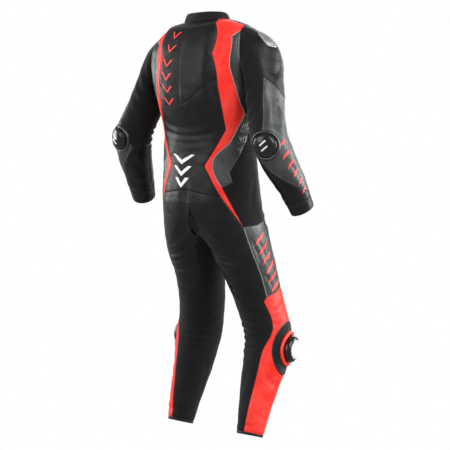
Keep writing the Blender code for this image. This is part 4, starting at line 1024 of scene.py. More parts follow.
def shell(name, limb, outline, arms, side, materials, wall, spacing, profile, pleat_lines):
    """A closed shell over an outline; returns the piece, its flat size and area, and its seam rows."""
    surface = SURFACES[limb]
    if np.cross(outline, np.roll(outline, -1, axis=0)).sum() < 0:
        outline, arms = outline[::-1], arms[::-1]
    metric = scales(surface, *outline.mean(axis=0)[:, None])[0]
    rows, kept, loop = seam_rows(surface, outline, spacing)
    flat, faces, origin = cut_flat(surface, outline, metric, rows, kept, loop, spacing)
    places = flat / metric
    on_rim = origin < len(outline)
    smooth = surface(*places.T)
    distance = nearest(smooth, loop)[0] * ~on_rim
    outer, normal = worn(limb, *places.T, side, profile(distance))
    if pleat_lines:
        outer += (pleats(smooth, pleat_lines) * ease(distance, *PLEAT_FADE))[:, None] * normal
    inner_way = -normal
    mitre = into_the_wall(surface, outline, arms)[origin[on_rim]]
    sunk = ((smooth - outer)[on_rim] * normal[on_rim]).sum(axis=1)
    outer[on_rim] = smooth[on_rim] + sunk[:, None] * mitre
    inner_way[on_rim] = mitre
    inner = place(outer + wall * inner_way, side)
    bm, area = walled(place(outer, side), inner, flat, faces, len(materials) - 1)
    return finish(bm, name, materials), cut_size(outline * metric, area), area, (rows, kept)


def sew(limb, rows, side, thread, profile):
    """Notes a stitch between each two neighbouring points of the row that the thread runs in."""
    line, kept = rows[0][STITCH_ROW], rows[1][STITCH_ROW]
    if not kept.any():
        return
    points, normal = worn(limb, *line.T, side, profile(np.full(len(line), STITCH_ROW)))
    points = place(points, side)
    normal = normal * np.array([side, 1, 1])
    both = kept & np.roll(kept, -1)
    stitches[thread].append((points[both], np.roll(points, -1, axis=0)[both], normal[both]))


def panel(name, limb, outline, arms, side, material, wall=LEATHER_WALL, spacing=GRID, thread="black",
          pleat_lines=(), profile=seam_profile):
    """A cut and sewn panel that stands for the CAD node of the same name."""
    piece, size, area, rows = shell(f"{name}_worn", limb, outline, arms, side, (material, LINING), wall,
                                    spacing, profile, pleat_lines)
    if thread:
        sew(limb, rows, side, thread, profile)
    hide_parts(name)
    return piece


print("pleats:", PLEAT_MM, "mm apart and", round(PLEAT_HEIGHT / MM, 1), "mm high")

# %% [markdown]
# ## Panels of the two halves
# Every panel is named for where it sits. The grey panels between the shoulder blades and at the waist are
# pleated leather over an elastic backing: the pleats run along the panel, beside its long seam.

# %% Cut the panels
PANELS = (
    # name, surface, material, slot, thread, outline
    ("back_yoke", "body", BLACK_LEATHER, "black_leather", "black",
     ("neck_red", "neck_spine", "yoke_spine", "red_yoke", "red_corner")),
    ("back_red", "body", RED_LEATHER, "red_leather", "red",
     ("neck_shoulder", "neck_red", "red_corner", "red_yoke", "red_blade", "red_rib", "red_waist", "red_seat",
      "red_tip", "rib_end", "rib_out", "rib_waist", "rib_in", "rib_mid", "grey_tip", "grey_rib", "grey_low",
      "grey_blade", "grey_top", "arm_grey", "arm_shoulder")),
    ("back_blade_rib", "body", GREY_LEATHER, "grey_leather", "grey",
     ("grey_top", "grey_blade", "grey_low", "grey_rib", "grey_tip", "arm_flank", "arm_grey")),
    ("waist_rib", "body", GREY_LEATHER, "grey_leather", "grey",
     ("rib_top", "grey_tip", "rib_mid", "rib_in", "rib_waist", "rib_out", "rib_end", "rib_foot", "rib_notch",
      "rib_back", "rib_side")),
    ("flank", "body", STRETCH_WEAVE, "black_stretch", "black",
     ("arm_flank", "grey_tip", "rib_top", "rib_side", "rib_back", "rib_notch", "rib_foot", "rib_end",
      "red_tip", "thigh_top", "thigh_front", "side_hip", "side_waist", "side_chest", "arm_side")),
    ("front", "body", BLACK_LEATHER, "black_leather", "black",
     ("neck_shoulder", "arm_shoulder", "arm_front", "arm_side", "side_chest", "side_waist", "side_hip",
      "thigh_front", "groin", "groin_in", "front_hip", "zip_foot", "zip_end", "zip_waist", "zip_chest",
      "neck_zip")),
    ("thigh_back", "body", BLACK_LEATHER, "black_leather", "black",
     ("seat_spine", "back_hip", "crotch_back", "thigh_in", "thigh_in_low", "ham_in", "ham", "ham_out",
      "knee_out", "grey_foot", "thigh_out", "red_tip", "red_seat")),
    ("thigh_grey", "body", GREY_LEATHER, "grey_leather", "grey",
     ("red_tip", "thigh_out", "grey_foot", "grey_mid", "grey_front", "thigh_side", "thigh_front",
      "thigh_top")),
    ("thigh_front", "body", BLACK_LEATHER, "black_leather", "black",
     ("front_hip", "groin_in", "groin", "thigh_front", "thigh_side", "grey_front", "inner_knee",
      "inner_thigh", "crotch_front")),
    ("inner_leg", "body", STRETCH_WEAVE, "black_stretch", "black",
     ("crotch_back", "crotch_front", "inner_thigh", "inner_knee", "inner_shin", "inner_calf", "inner_hem",
      "red_hem", "red_calf", "red_behind_knee", "red_above_knee", "knee_out", "ham_out", "ham", "ham_in",
      "thigh_in_low", "thigh_in")),
    ("leg_red", "body", RED_LEATHER, "red_leather", "red",
     ("knee_out", "red_above_knee", "red_behind_knee", "red_calf", "red_hem", "red_front_hem",
      "red_front_calf", "red_front_shin", "red_front_knee", "grey_front", "grey_mid", "grey_foot")),
    ("shin", "body", BLACK_LEATHER, "black_leather", "black",
     ("grey_front", "red_front_knee", "red_front_shin", "red_front_calf", "red_front_hem", "inner_hem",
      "inner_calf", "inner_shin", "inner_knee")),
    ("sleeve_cap", "sleeve", BLACK_LEATHER, "black_leather", "black",
     ("arm_front", "arm_shoulder", "arm_grey", "cap_back", "cap_low", "cap_edge", "cap_front")),
    ("sleeve_back", "sleeve", STRETCH_WEAVE, "black_stretch", "black",
     ("arm_grey", "arm_flank", "under_arm", "under_elbow", "elbow_in", "elbow_back", "above_elbow",
      "upper_back", "cap_low", "cap_back")),
    ("sleeve_grey", "sleeve", GREY_LEATHER, "grey_leather", "grey",
     ("cap_front", "cap_edge", "cap_low", "upper_back", "above_elbow", "elbow_back", "elbow_in",
      "grey_elbow_low", "grey_forearm", "grey_point", "grey_tip", "grey_bend")),
    ("sleeve_inner", "sleeve", STRETCH_WEAVE, "black_stretch", "black",
     ("arm_flank", "arm_side", "arm_front_again", "under_arm_front", "front_elbow", "inner_elbow",
      "under_elbow", "under_arm")),
    ("forearm_back", "sleeve", BLACK_LEATHER, "black_leather", "black",
     ("elbow_in", "under_elbow", "inner_elbow", "inner_cuff", "outer_cuff", "grey_tip", "grey_point",
      "grey_forearm", "grey_elbow_low")),
    ("forearm_front", "sleeve", BLACK_LEATHER, "black_leather", "black",
     ("inner_elbow", "front_elbow", "front_grey_tip", "front_cuff", "inner_cuff")),
)
PLEATS_BESIDE = {
    "back_blade_rib": ("grey_top", "grey_blade", "grey_low", "grey_rib", "grey_tip"),
    "waist_rib": ("grey_tip", "rib_mid", "rib_in", "rib_waist", "rib_out", "rib_end"),
}
SLEEVE_PLACES = SLEEVE_POINTS | {name: (around, 0.0) for name, around in ARMHOLE_POINTS.items()}


def body_places(side):
    """The body's named points on one side."""
    points = BODY_POINTS | (LEFT_BODY_POINTS if side == LEFT else {})
    return points | {name: armhole(around) for name, around in ARMHOLE_POINTS.items()}


for side, word in SIDE_NAMES.items():
    for name, limb, material, slot, thread, names in PANELS:
        points = SLEEVE_PLACES if limb == "sleeve" else body_places(side)
        curves = SLEEVE_CURVES if limb == "sleeve" else BODY_CURVES
        if name == "inner_leg":
            points = {key: (a + LEG_AROUND if a < 0 else a, d) for key, (a, d) in points.items()}
        surface = SURFACES[limb]
        lines = ()
        if name in PLEATS_BESIDE:
            stops = PLEATS_BESIDE[name]
            run = np.concatenate([edge(a, b, points, curves, surface) for a, b in zip(stops, stops[1:])])
            lines = (surface(*run.T),)
        outline, arms = outline_of(names, points, curves, surface)
        wall = STRETCH_WALL if material is STRETCH_WEAVE else LEATHER_WALL
        spacing = PLEAT_GRID if lines else GRID
        panel(f"{name}_{word}", limb, outline, arms, side, material, wall, spacing, thread, lines)
print(len(PANELS) * 2, "panels,", sum(len(run[0]) for rows in stitches.values() for run in rows), "stitches")

# %% [markdown]
# ## Panels and strips across the middle
# The lower back is one panel that both halves share. The collar, the cuffs and the hem bindings are strips
# sewn all the way round an opening, so their edge profile is rounder and thicker. The tape of the front zip
# is a strip that runs from the neck down to the groin.

# %% Cut the middle panels and the strips
STRIP_GRID, STRIP_RISE = 4.5 * MM, (0.1 * MM, 0.25 * MM, 0.5 * MM)
# the knit collar's shares of the full rise: behind, and how much less it has in front
COLLAR_BEHIND, COLLAR_LESS = 0.8, 0.3


def rolled_edge(distance):
    """A strip's face rises quickly from a thin edge to an even, padded face."""
    return np.interp(distance, (0, *SEAM_ROWS), (-SEAM_DIP, *STRIP_RISE, PUFF))


def strip(name, limb, stops, low, high, wall, material, side, slope=0.0):
    """A strip all the way round an opening, as wide as low to high; slope makes it narrower at the front."""
    run = []
    for start, end in zip(stops, stops[1:]):
        fine = SURFACES[limb](np.linspace(start, end, MEASURE_STEPS), np.full(MEASURE_STEPS, low))
        length = np.linalg.norm(np.diff(fine, axis=0), axis=1).sum()
        run += list(np.linspace(start, end, max(1, round(length / SEAM_STEP)), endpoint=False))
    run = np.array(run + [stops[-1]])
    far = high + slope * (1 - np.sin(pi * np.clip(run, 0, 1)) ** 2)
    outline = np.concatenate([np.stack([run, np.full(len(run), low)], -1), np.stack([run, far], -1)[::-1]])
    return panel(name, limb, outline, np.full(len(outline), np.nan), side, material, wall, STRIP_GRID,
                 "black", profile=rolled_edge)


def middle_outline(half):
    """The outline of a panel across the middle, down its left side and up its right."""
    sides = []
    for side in (LEFT, RIGHT):
        points = body_places(side)
        run = np.concatenate([edge(a, b, points, BODY_CURVES, body) for a, b in zip(half, half[1:])])
        sides.append(np.vstack([run, points[half[-1]]]))
    return sides[0], sides[1][::-1]


down_left, up_right = middle_outline(("yoke_spine", "red_yoke", "red_blade", "red_rib", "red_waist",
                                      "red_seat", "seat_spine"))
lower_back = np.concatenate([down_left[:-1], (up_right * (-1, 1) + (1, 0))[:-1]])
panel("back_lower", "torso", lower_back, np.full(len(lower_back), np.nan), LEFT, BLACK_LEATHER)

down_left, up_right = middle_outline(("neck_zip", "zip_chest", "zip_waist", "zip_end", "zip_foot"))
zip_outline = np.concatenate([down_left, down_left[::-1] * (-1, 1)])
panel("front_zip", "torso", zip_outline, np.full(len(zip_outline), np.nan), LEFT, ZIP_TAPE,
      spacing=STRIP_GRID, thread=None)

neck = [BODY_POINTS[name][0] for name in ("neck_zip", "neck_shoulder", "neck_red", "neck_spine")]
neck_stops = neck + [1 - around for around in neck[-2::-1]]
strip("collar", "collar", neck_stops, 0.0, -COLLAR_BEHIND * COLLAR_RISE, COLLAR_WALL, COLLAR_KNIT,
      LEFT, slope=COLLAR_LESS * COLLAR_RISE)
for side, word in SIDE_NAMES.items():
    inner_hem = BODY_POINTS["inner_hem"][0]
    hem_stops = (inner_hem, BODY_POINTS["red_front_hem"][0], BODY_POINTS["red_hem"][0],
                 inner_hem + LEG_AROUND)
    strip(f"hem_binding_{word}", "body", hem_stops, HEM_DOWN, LEG_END, LEATHER_WALL, BLACK_LEATHER,
          side)
    outer_cuff = SLEEVE_POINTS["outer_cuff"][0]
    cuff_stops = (outer_cuff, SLEEVE_POINTS["inner_cuff"][0], outer_cuff + 1)
    strip(f"cuff_{word}", "sleeve", cuff_stops, CUFF_DOWN, SLEEVE_END, LEATHER_WALL, BLACK_LEATHER,
          side)
print("collar, two cuffs, two hem bindings, the zip's tape and the lower back are cut")

# %% [markdown]
# ## Fittings that follow the surface
# The plates, rings, sliders and the knee patch all sit on curved leather, so each is built from rings of
# points around its centre, raised from the worn surface by a profile. A profile's rows are a share of the
# radius, a height in millimetres and the number of the material. The rows of the knee patch can be notched.

# %% The fitting maker
FITTING_SIDES, NOTCH_DEEP, NOTCH_FROM, NOTCH_TO, NOTCH_POWER = 72, 1.5 * MM, 0.62, 0.93, 0.3


def fitting(name, limb, centre, radii, profile, materials, side, square=2.0, closed=False, notches=0):
    """A piece of rings raised from the surface by its profile of (share of radius, height mm, material)."""
    across, along = scales(SURFACES[limb], *np.array([centre]).T)[0]
    turns = 2 * pi * np.arange(FITTING_SIDES) / FITTING_SIDES
    ring = np.stack([np.sign(f(turns)) * np.abs(f(turns)) ** (2 / square) for f in (np.cos, np.sin)], -1)
    ring = ring * radii / (across, along)
    notch = NOTCH_DEEP * (np.abs(np.sin(notches * turns / 2)) ** NOTCH_POWER - 1) * (notches > 0)
    bm = bmesh.new()
    rows = []
    for share, height, material in profile:
        places = np.array(centre) + ring * share if share else np.array([centre])
        dip = notch[:len(places)] * (NOTCH_FROM < share < NOTCH_TO)
        raised, normal = worn(limb, *places.T, side, height * MM + dip)
        rows.append(([bm.verts.new(p) for p in place(raised, side)], material))
    for (low, _), (high, material) in list(zip(rows, rows[1:])) + ([(rows[-1], rows[0])] if closed else []):
        for i in range(FITTING_SIDES):
            j = (i + 1) % FITTING_SIDES
            corners = [low[i % len(low)], low[j % len(low)], high[j % len(high)], high[i % len(high)]]
            bm.faces.new(list(dict.fromkeys(corners))).material_index = material
    return finish(bm, name, materials, smooth_angle=40)


def crown(start, shoulder, top, material, rows=7):
    """Profile rows of a domed top, from the share start at height shoulder in towards height top."""
    turns = np.linspace(0, pi / 2, rows + 1)[:-1]
    return [(start * cos(turn), shoulder + (top - shoulder) * sin(turn), material) for turn in turns]


def stands_for(node):
    """Hides the CAD part that a fitting stands for."""
    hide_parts(node)


print("a fitting has", FITTING_SIDES, "sides")

# %% [markdown]
# ## Shoulder plates, elbow and knee sliders
# A shoulder plate is a pressed aluminium cup with one shallow groove round it. An elbow slider is a black
# cap in a raised metallic rim. At the knee a glossy cap with a white oval top sits in a red ring on a patch
# of loop pile, because a rider wears sliders down on the road and swaps them. The patch's edge is bound,
# and its pile is pressed into short notches all round.

# %% Make the plates and sliders
PLATE_AT, PLATE_RADII = (-0.010, 0.047), np.array([0.024, 0.034])
ELBOW_AT, ELBOW_RADII = (0.205, 0.276), np.array([0.045, 0.048])
# a cap fits inside its ring with these shares of the ring's radii
ELBOW_CAP_SHARE, KNEE_CAP_SHARE = 0.76, 0.785
KNEE_AT, KNEE_RADII, PATCH_RADII = (0.225, 1.125), np.array([0.042, 0.058]), np.array([0.072, 0.095])
PLATE = [(0.90, 0.4, 0), (1.0, 0.4, 0), (1.0, 2.0, 0), (0.98, 2.8, 0), (0.94, 3.2, 0), (0.90, 3.3, 0),
         (0.86, 2.9, 0), (0.82, 2.8, 0), (0.78, 3.2, 0), (0.70, 3.7, 0), (0.55, 4.2, 0), (0.30, 4.6, 0),
         (0, 4.8, 0)]
ELBOW_RING = [(0.80, 0.3, 0), (0.90, 0.2, 0), (1.02, 0.2, 0), (1.03, 1.6, 0), (1.0, 3.6, 1), (0.97, 5.4, 1),
              (0.93, 6.6, 1), (0.89, 7.0, 1), (0.85, 6.4, 1), (0.82, 5.0, 0), (0.80, 2.5, 0)]
ELBOW_CAP = ([(0.90, 0.3, 0), (1.0, 0.3, 0), (1.0, 6.0, 0), (0.985, 8.0, 0), (0.95, 9.8, 0), (0.90, 11.2, 0)]
             + crown(0.84, 12.2, 16.5, 0) + [(0, 16.5, 0)])
PATCH = [(0.5, 0.2, 0), (1.0, 0.2, 1), (1.0, 1.6, 1), (0.985, 2.5, 1), (0.965, 2.7, 1), (0.945, 2.2, 1),
         (0.935, 1.9, 0), (0.92, 2.4, 0), (0.86, 2.6, 0), (0.78, 2.6, 0), (0.70, 2.6, 0), (0.64, 2.8, 0),
         (0.5, 2.9, 0), (0, 3.0, 0)]
KNEE_RING = [(0.80, 3.2, 0), (0.9, 3.2, 0), (1.02, 3.2, 0), (1.04, 4.4, 0), (1.04, 8.4, 0), (1.02, 10.4, 0),
             (0.98, 11.8, 0), (0.93, 12.4, 0), (0.87, 12.3, 0), (0.83, 11.4, 0), (0.80, 9.0, 0)]
KNEE_CAP = ([(0.9, 3.3, 0), (1.0, 3.3, 0), (1.0, 12.0, 0), (1.0, 16.0, 0), (0.985, 19.0, 0), (0.95, 22.5, 0),
             (0.90, 25.5, 0), (0.83, 28.4, 0), (0.75, 30.6, 0), (0.69, 31.6, 0), (0.675, 31.2, 0),
             (0.66, 31.5, 1), (0.64, 32.6, 1), (0.60, 33.4, 1)]
            + crown(0.54, 33.9, 35.6, 1, rows=4) + [(0, 35.6, 1)])


for side, word in SIDE_NAMES.items():
    plate = fitting(f"shoulder_cup_{word}", "sleeve", PLATE_AT, PLATE_RADII, PLATE, [PLATE_METAL], side,
                    square=3.2)
    stands_for(f"shoulder_plate_{word}")
    ring = fitting(f"elbow_rim_{word}", "sleeve", ELBOW_AT, ELBOW_RADII, ELBOW_RING,
                   [RUBBER_BLACK, GUNMETAL], side, closed=True)
    stands_for(f"elbow_ring_{word}")
    cap = fitting(f"elbow_cap_{word}", "sleeve", ELBOW_AT, ELBOW_RADII * ELBOW_CAP_SHARE, ELBOW_CAP,
                  [SLIDER_BLACK], side)
    stands_for(f"elbow_slider_{word}")
    patch = fitting(f"knee_pile_{word}", "body", KNEE_AT, PATCH_RADII, PATCH, [HOOK_PILE, RUBBER_BLACK], side,
                    notches=24)
    stands_for(f"knee_patch_{word}")
    ring = fitting(f"knee_rim_{word}", "body", KNEE_AT, KNEE_RADII, KNEE_RING, [SLIDER_RED], side,
                   closed=True)
    stands_for(f"knee_slider_base_{word}")
    cap = fitting(f"knee_cap_{word}", "body", KNEE_AT, KNEE_RADII * KNEE_CAP_SHARE, KNEE_CAP,
                  [SLIDER_BLACK, SLIDER_WHITE], side)
    stands_for(f"knee_slider_{word}")
print("shoulder cups, elbow and knee sliders are on")

# %% [markdown]
# ## Small forms along a line
# Teeth and stitches repeat hundreds of times, so one small form is made once and copied along a line,
# turned to the surface and to the run of the line.

# %% Copy a form along a line


def template(kind, sides, **settings):
    """Corners and faces of one small form, made about the origin with these sides."""
    bm = bmesh.new()
    getattr(bmesh.ops, kind)(bm, **settings)
    bmesh.ops.scale(bm, vec=sides, verts=bm.verts)
    bm.verts.index_update()
    form = (np.array([tuple(v.co) for v in bm.verts]), [[v.index for v in face.verts] for face in bm.faces])
    bm.free()
    return form


def scatter(name, form, places, ahead, normal, material):
    """Copies a form to each place, with its X along ahead and its Z along the normal."""
    points, faces = form
    ahead = ahead - (ahead * normal).sum(axis=1)[:, None] * normal
    ahead /= np.linalg.norm(ahead, axis=1)[:, None]
    across = np.cross(normal, ahead)
    spots = (places[:, None] + points[:, 0, None] * ahead[:, None] + points[:, 1, None] * across[:, None]
             + points[:, 2, None] * normal[:, None]).reshape(-1, 3)
    mesh = bpy.data.meshes.new(name)
    numbers = [[i + copy * len(points) for i in face] for copy in range(len(places)) for face in faces]
    mesh.from_pydata(spots.tolist(), [], numbers)
    mesh.materials.append(material)
    mesh.shade_smooth()
    mesh.set_sharp_from_angle(angle=radians(50))
    piece = bpy.data.objects.new(name, mesh)
    scene.collection.objects.link(piece)
    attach(piece, "root")
    return piece


def along_line(limb, line, pitch, side, lift):
    """Places at even distances along a line on the worn surface, with the way ahead and the normal."""
    points = SURFACES[limb](*line.T)
    gone = np.concatenate([[0], np.cumsum(np.linalg.norm(np.diff(points, axis=0), axis=1))])
    stops = np.arange(pitch / 2, gone[-1], pitch)
    at = np.stack([np.interp(stops, gone, line[:, i]) for i in (0, 1)], -1)
    spots, normal = worn(limb, *at.T, side, lift)
    spots = place(spots, side)
    return spots, np.gradient(spots, axis=0), normal * np.array([side, 1, 1])


print("forms are copied along lines by scatter")

# %% [markdown]
# ## Zips
# The front zip has two rows of metal teeth on its tape, 4 mm from tooth to tooth, a slider near the top and
# a flat pull with a hole. Each forearm has a shorter zip along its inner side. A tooth is a small block.

# %% Make the zips
TOOTH_PITCH, FINE_PITCH, TOOTH_SIZE = 4.0 * MM, 3.2 * MM, (1.9 * MM, 3.6 * MM, 1.2 * MM)
ROW_APART, TOOTH_LIFT, FINE_LIFT, ZIP_TOP, LINE_STEPS = 1.7 * MM, 0.5 * MM, 1.9 * MM, 0.012, 80
TOOTH = template("create_cube", TOOTH_SIZE, size=1.0)
teeth = []
down = np.linspace(ZIP_TOP, ZIP_END, LINE_STEPS)
for shift in (-1, 1):
    line = np.stack([np.full(LINE_STEPS, shift * ROW_APART), down + shift * TOOTH_PITCH / 4], -1)
    line[:, 0] /= scales(torso, np.zeros(LINE_STEPS), down)[:, 0]
    teeth.append(along_line("torso", line, TOOTH_PITCH, LEFT, PUFF + TOOTH_LIFT))
front_teeth = scatter("front_zip_teeth", TOOTH, *[np.concatenate(part) for part in zip(*teeth)], ZIP_METAL)

ZIP_SLIDER_AT, ZIP_SLIDER_RADII = (0.0, 0.022), np.array([0.006, 0.010])
ZIP_SLIDER = [(0.5, 0.6, 0), (1.0, 0.6, 0), (1.0, 1.6, 0), (0.9, 2.2, 0), (0.9, 2.8, 0), (1.0, 3.2, 0),
              (0.98, 4.2, 0), (0.85, 4.7, 0), (0.5, 4.9, 0), (0, 5.0, 0)]
runner = fitting("front_zip_runner", "torso", ZIP_SLIDER_AT, ZIP_SLIDER_RADII, ZIP_SLIDER, [ZIP_METAL],
                 LEFT, square=3.5)
stands_for("zip_slider")
PULL = [(0.5, 5.4, 0), (1.0, 5.4, 0), (1.0, 6.6, 0), (0.9, 7.2, 0), (0.6, 7.2, 0), (0.5, 6.6, 0)]
pull = fitting("front_zip_pull", "torso", (0.0, 0.040), np.array([0.0045, 0.013]), PULL, [ZIP_METAL], LEFT,
               square=3.0, closed=True)

FOREARM_ZIP_AT, FOREARM_ZIP_RADII = (0.55, 0.375), np.array([0.006, 0.075])
ZIP_TAPE_ROWS = [(0.5, 0.3, 0), (1.0, 0.3, 0), (1.0, 1.3, 0), (0.93, 1.6, 0), (0.5, 1.3, 0), (0, 1.3, 0)]
for side, word in SIDE_NAMES.items():
    tape = fitting(f"forearm_tape_{word}", "sleeve", FOREARM_ZIP_AT, FOREARM_ZIP_RADII, ZIP_TAPE_ROWS,
                   [ZIP_TAPE], side, square=6.0)
    stands_for(f"forearm_zip_{word}")
    reach = np.linspace(-0.9, 0.9, LINE_STEPS // 2) * FOREARM_ZIP_RADII[1]
    line = np.stack([np.full(len(reach), FOREARM_ZIP_AT[0]), FOREARM_ZIP_AT[1] + reach], -1)
    run = along_line("sleeve", line, FINE_PITCH, side, FINE_LIFT)
    scatter(f"forearm_teeth_{word}", TOOTH, *run, ZIP_METAL)
print("zips:", sum(len(run[0]) for run in teeth), "teeth in front")

# %% [markdown]
# ## Stitches
# Each panel is topstitched 3 mm from its edge with bonded thread, about five stitches to every 25 mm. A
# stitch is a short bead, half sunk in the groove of the rolled edge.

# %% Sew
STITCH_SIZE, STITCH_LIFT = (2.0 * MM, 0.5 * MM, 0.36 * MM), 0.1 * MM
STITCH = template("create_uvsphere", STITCH_SIZE, u_segments=4, v_segments=3, radius=1.0)
for thread, runs in stitches.items():
    starts, ends, normal = (np.concatenate(part) for part in zip(*runs))
    middles = (starts + ends) / 2 + STITCH_LIFT * normal
    sewn = scatter(f"stitches_{thread}", STITCH, middles, ends - starts, normal, THREADS[thread])
    print(len(starts), "stitches of", thread, "thread")

# %% [markdown]
# ## Coloured marks
# The coloured marks are plain chevrons and bars, printed as thin rubber transfers and pressed onto the
# leather. Each is a flat outline laid on the surface, a few tenths of a millimetre thick. A column of
# narrow chevrons runs down the left side of the back, three broad ones sit low on the back, and slanted
# bars run down the right forearm and thigh.

# %% The mark maker
MARK_LIFT, MARK_WALL, MARK_GRID, MARK_ROOM = 0.9 * MM, 0.4 * MM, 4.0 * MM, 0.4
ELBOW_MARK_LIFT = 15.9 * MM


def mark(name, limb, centre, turn, shape, side, material, lift=MARK_LIFT):
    """A thin raised shape; its outline is in metres across and down from the centre, turned by an angle."""
    scale = scales(SURFACES[limb], *np.array([centre]).T)[0]
    corners = np.array(shape, float)
    dense = np.concatenate([a + (b - a) * np.linspace(0, 1, max(2, round(np.linalg.norm(b - a) / MARK_GRID)),
                                                     endpoint=False)[:, None]
                            for a, b in zip(corners, np.roll(corners, -1, axis=0))])
    grid = even_grid(dense, MARK_GRID)
    lifted, closed = (np.pad(line, ((0, 0), (0, 1))) for line in (grid, np.vstack([dense, dense[:1]])))
    grid = grid[inside(grid, dense) & (nearest(lifted, closed)[0] > MARK_ROOM * MARK_GRID)]
    count = len(dense)
    points = [Vector(p) for p in np.vstack([dense, grid])]
    cut = delaunay_2d_cdt(points, [], [list(range(count))], 1, SAME_PLACE)
    flat = np.array([tuple(p) for p in cut[0]])
    turned = flat @ np.array([[cos(turn), sin(turn)], [-sin(turn), cos(turn)]])
    places = np.array(centre) + turned / scale
    bm = bmesh.new()
    layers = []
    for height in (lift, lift - MARK_WALL):
        raised, _ = worn(limb, *places.T, side, PUFF + height)
        layers.append([bm.verts.new(p) for p in place(raised, side)])
    for face in cut[2]:
        bm.faces.new([layers[0][i] for i in face])
        bm.faces.new([layers[1][i] for i in reversed(face)])
    rim = [i for i, found in enumerate(cut[3]) if found and min(found) < count]
    rim.sort(key=lambda i: min(cut[3][i]))
    for i, j in zip(rim, rim[1:] + rim[:1]):
        bm.faces.new([layers[0][j], layers[0][i], layers[1][i], layers[1][j]])
    finish(bm, name, [material])


def chevron(width, height, thick):
    """A V that points down, with its upper ends cut level."""
    half = width / 2
    return [(-half, -height), (-half + thick, -height), (0, -thick), (half - thick, -height), (half, -height),
            (0, 0)]


def bar(width, length, slant):
    """A slanted bar."""
    return [(-width / 2 - slant, -length / 2), (width / 2 - slant, -length / 2),
            (width / 2 + slant, length / 2), (-width / 2 + slant, length / 2)]


print("a mark is", round(MARK_WALL / MM, 1), "mm thick")

# %% [markdown]
# ## Where the marks go
# The white chevrons and the bars of the forearm get narrower down their column, and the others keep one
# size. Each elbow slider has two short pale bars.

# %% Press on the coloured marks
for i, down in enumerate(np.linspace(0.085, 0.305, 6)):
    mark(f"yoke_chevron_{i}", "body", (0.468, down), 0.05, chevron(0.044, 0.026, 0.007), LEFT, TRANSFER_RED)
for i, down in enumerate((0.518, 0.556, 0.594)):
    mark(f"waist_chevron_{i}", "torso", (0.485, down), 0.0, chevron(0.096 - 0.020 * i, 0.034, 0.014), LEFT,
         TRANSFER_WHITE)
for i, down in enumerate(np.linspace(0.285, 0.430, 6)):
    mark(f"forearm_bar_{i}", "sleeve", (0.070 - 0.008 * i, down), 0.35, bar(0.034 - 0.003 * i, 0.008, 0.006),
         RIGHT, TRANSFER_RED)
for i, down in enumerate(np.linspace(0.752, 0.925, 6)):
    mark(f"thigh_bar_{i}", "body", (0.255 - 0.003 * i, down), 0.25, bar(0.050, 0.011, 0.008), RIGHT,
         TRANSFER_RED)
for side, word in SIDE_NAMES.items():
    for shift in (-1, 1):
        bump = np.array(ELBOW_AT) + (0, 0.006 * shift)
        mark(f"elbow_bar_{shift + 1}_{word}", "sleeve", bump, 0.5, bar(0.020, 0.004, 0.0), side, SLIDER_WHITE,
             lift=ELBOW_MARK_LIFT)
print("six red chevrons, three white ones, twelve red bars and four white ones are on")

# %% [markdown]
# ## Piping and lapped seams
# A pale cord is sewn into the seams between the red and the grey leather. A thin roll of the panel's own
# leather marks a lapped seam across the right of the upper back and another below each knee, and a red cord
# edges the left shoulder.

# %% Sew in the cords
CORD_SIDES, CORD_STEP, CORD_TIP, CORD_LIFT = 8, 3.5 * MM, 0.3, 0.1 * MM
PIPING_RADIUS, LAP_RADIUS, SHOULDER_RADIUS, SHOULDER_LIFT = 0.8 * MM, 0.7 * MM, 1.2 * MM, 0.4 * MM


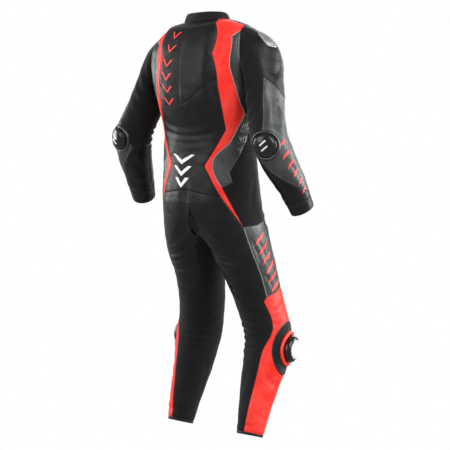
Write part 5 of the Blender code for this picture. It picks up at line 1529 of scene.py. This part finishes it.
def cord(name, limb, line, radius, side, material, lift=0.0):
    """A round cord along a line of places on the worn surface, tapered at its ends."""
    points = SURFACES[limb](*line.T)
    gone = np.concatenate([[0], np.cumsum(np.linalg.norm(np.diff(points, axis=0), axis=1))])
    stops = np.linspace(0, gone[-1], max(3, round(gone[-1] / CORD_STEP)))
    at = np.stack([np.interp(stops, gone, line[:, i]) for i in (0, 1)], -1)
    spots, normal = worn(limb, *at.T, side, lift)
    ahead = np.gradient(spots, axis=0)
    across = np.cross(normal, ahead)
    across /= np.linalg.norm(across, axis=1)[:, None]
    taper = np.interp(np.arange(len(stops)), (0, 2, len(stops) - 3, len(stops) - 1),
                      (CORD_TIP, 1, 1, CORD_TIP))
    bm = bmesh.new()
    rings = []
    for turn in 2 * pi * np.arange(CORD_SIDES) / CORD_SIDES:
        ring = spots + (radius * taper)[:, None] * (cos(turn) * across + sin(turn) * normal)
        rings.append([bm.verts.new(p) for p in place(ring, side)])
    for low, high in zip(rings, rings[1:] + rings[:1]):
        for i in range(len(stops) - 1):
            bm.faces.new([low[i], low[i + 1], high[i + 1], high[i]])
    for end in (0, -1):
        bm.faces.new([ring[end] for ring in rings])
    finish(bm, name, [material])


def seam_line(points, names):
    """A line of places along named points, on the same curves as the panels."""
    run = [edge(a, b, points, BODY_CURVES, body) for a, b in zip(names, names[1:])]
    return np.vstack([*run, points[names[-1]]])


PIPED = {
    "blade": ("arm_grey", "grey_top", "grey_blade", "grey_low", "grey_rib", "grey_tip"),
    "waist": ("grey_tip", "rib_mid", "rib_in", "rib_waist", "rib_out", "rib_end"),
    "thigh": ("red_tip", "thigh_out", "grey_foot"),
}
for side, word in SIDE_NAMES.items():
    points = body_places(side)
    for place_name, names in PIPED.items():
        cord(f"piping_{place_name}_{word}", "body", seam_line(points, names), PIPING_RADIUS, side,
             PALE_PIPING, lift=CORD_LIFT)
    below_knee = np.stack([np.linspace(0.16, 0.372, 20), np.linspace(1.246, 1.206, 20)], -1)
    cord(f"shin_lap_{word}", "body", below_knee, LAP_RADIUS, side, RED_LEATHER, lift=PUFF)
shoulder = seam_line(body_places(LEFT), ("neck_shoulder", "arm_shoulder"))
cord("shoulder_edge_left", "body", shoulder, SHOULDER_RADIUS, LEFT, TRANSFER_RED,
     lift=SHOULDER_LIFT)
slant = np.linspace(body_places(RIGHT)["red_corner"], (0.5, 0.335), 20)
cord("yoke_lap_right", "body", slant, PIPING_RADIUS, RIGHT, BLACK_LEATHER, lift=PUFF)
print("piping is on the seams between red and grey")
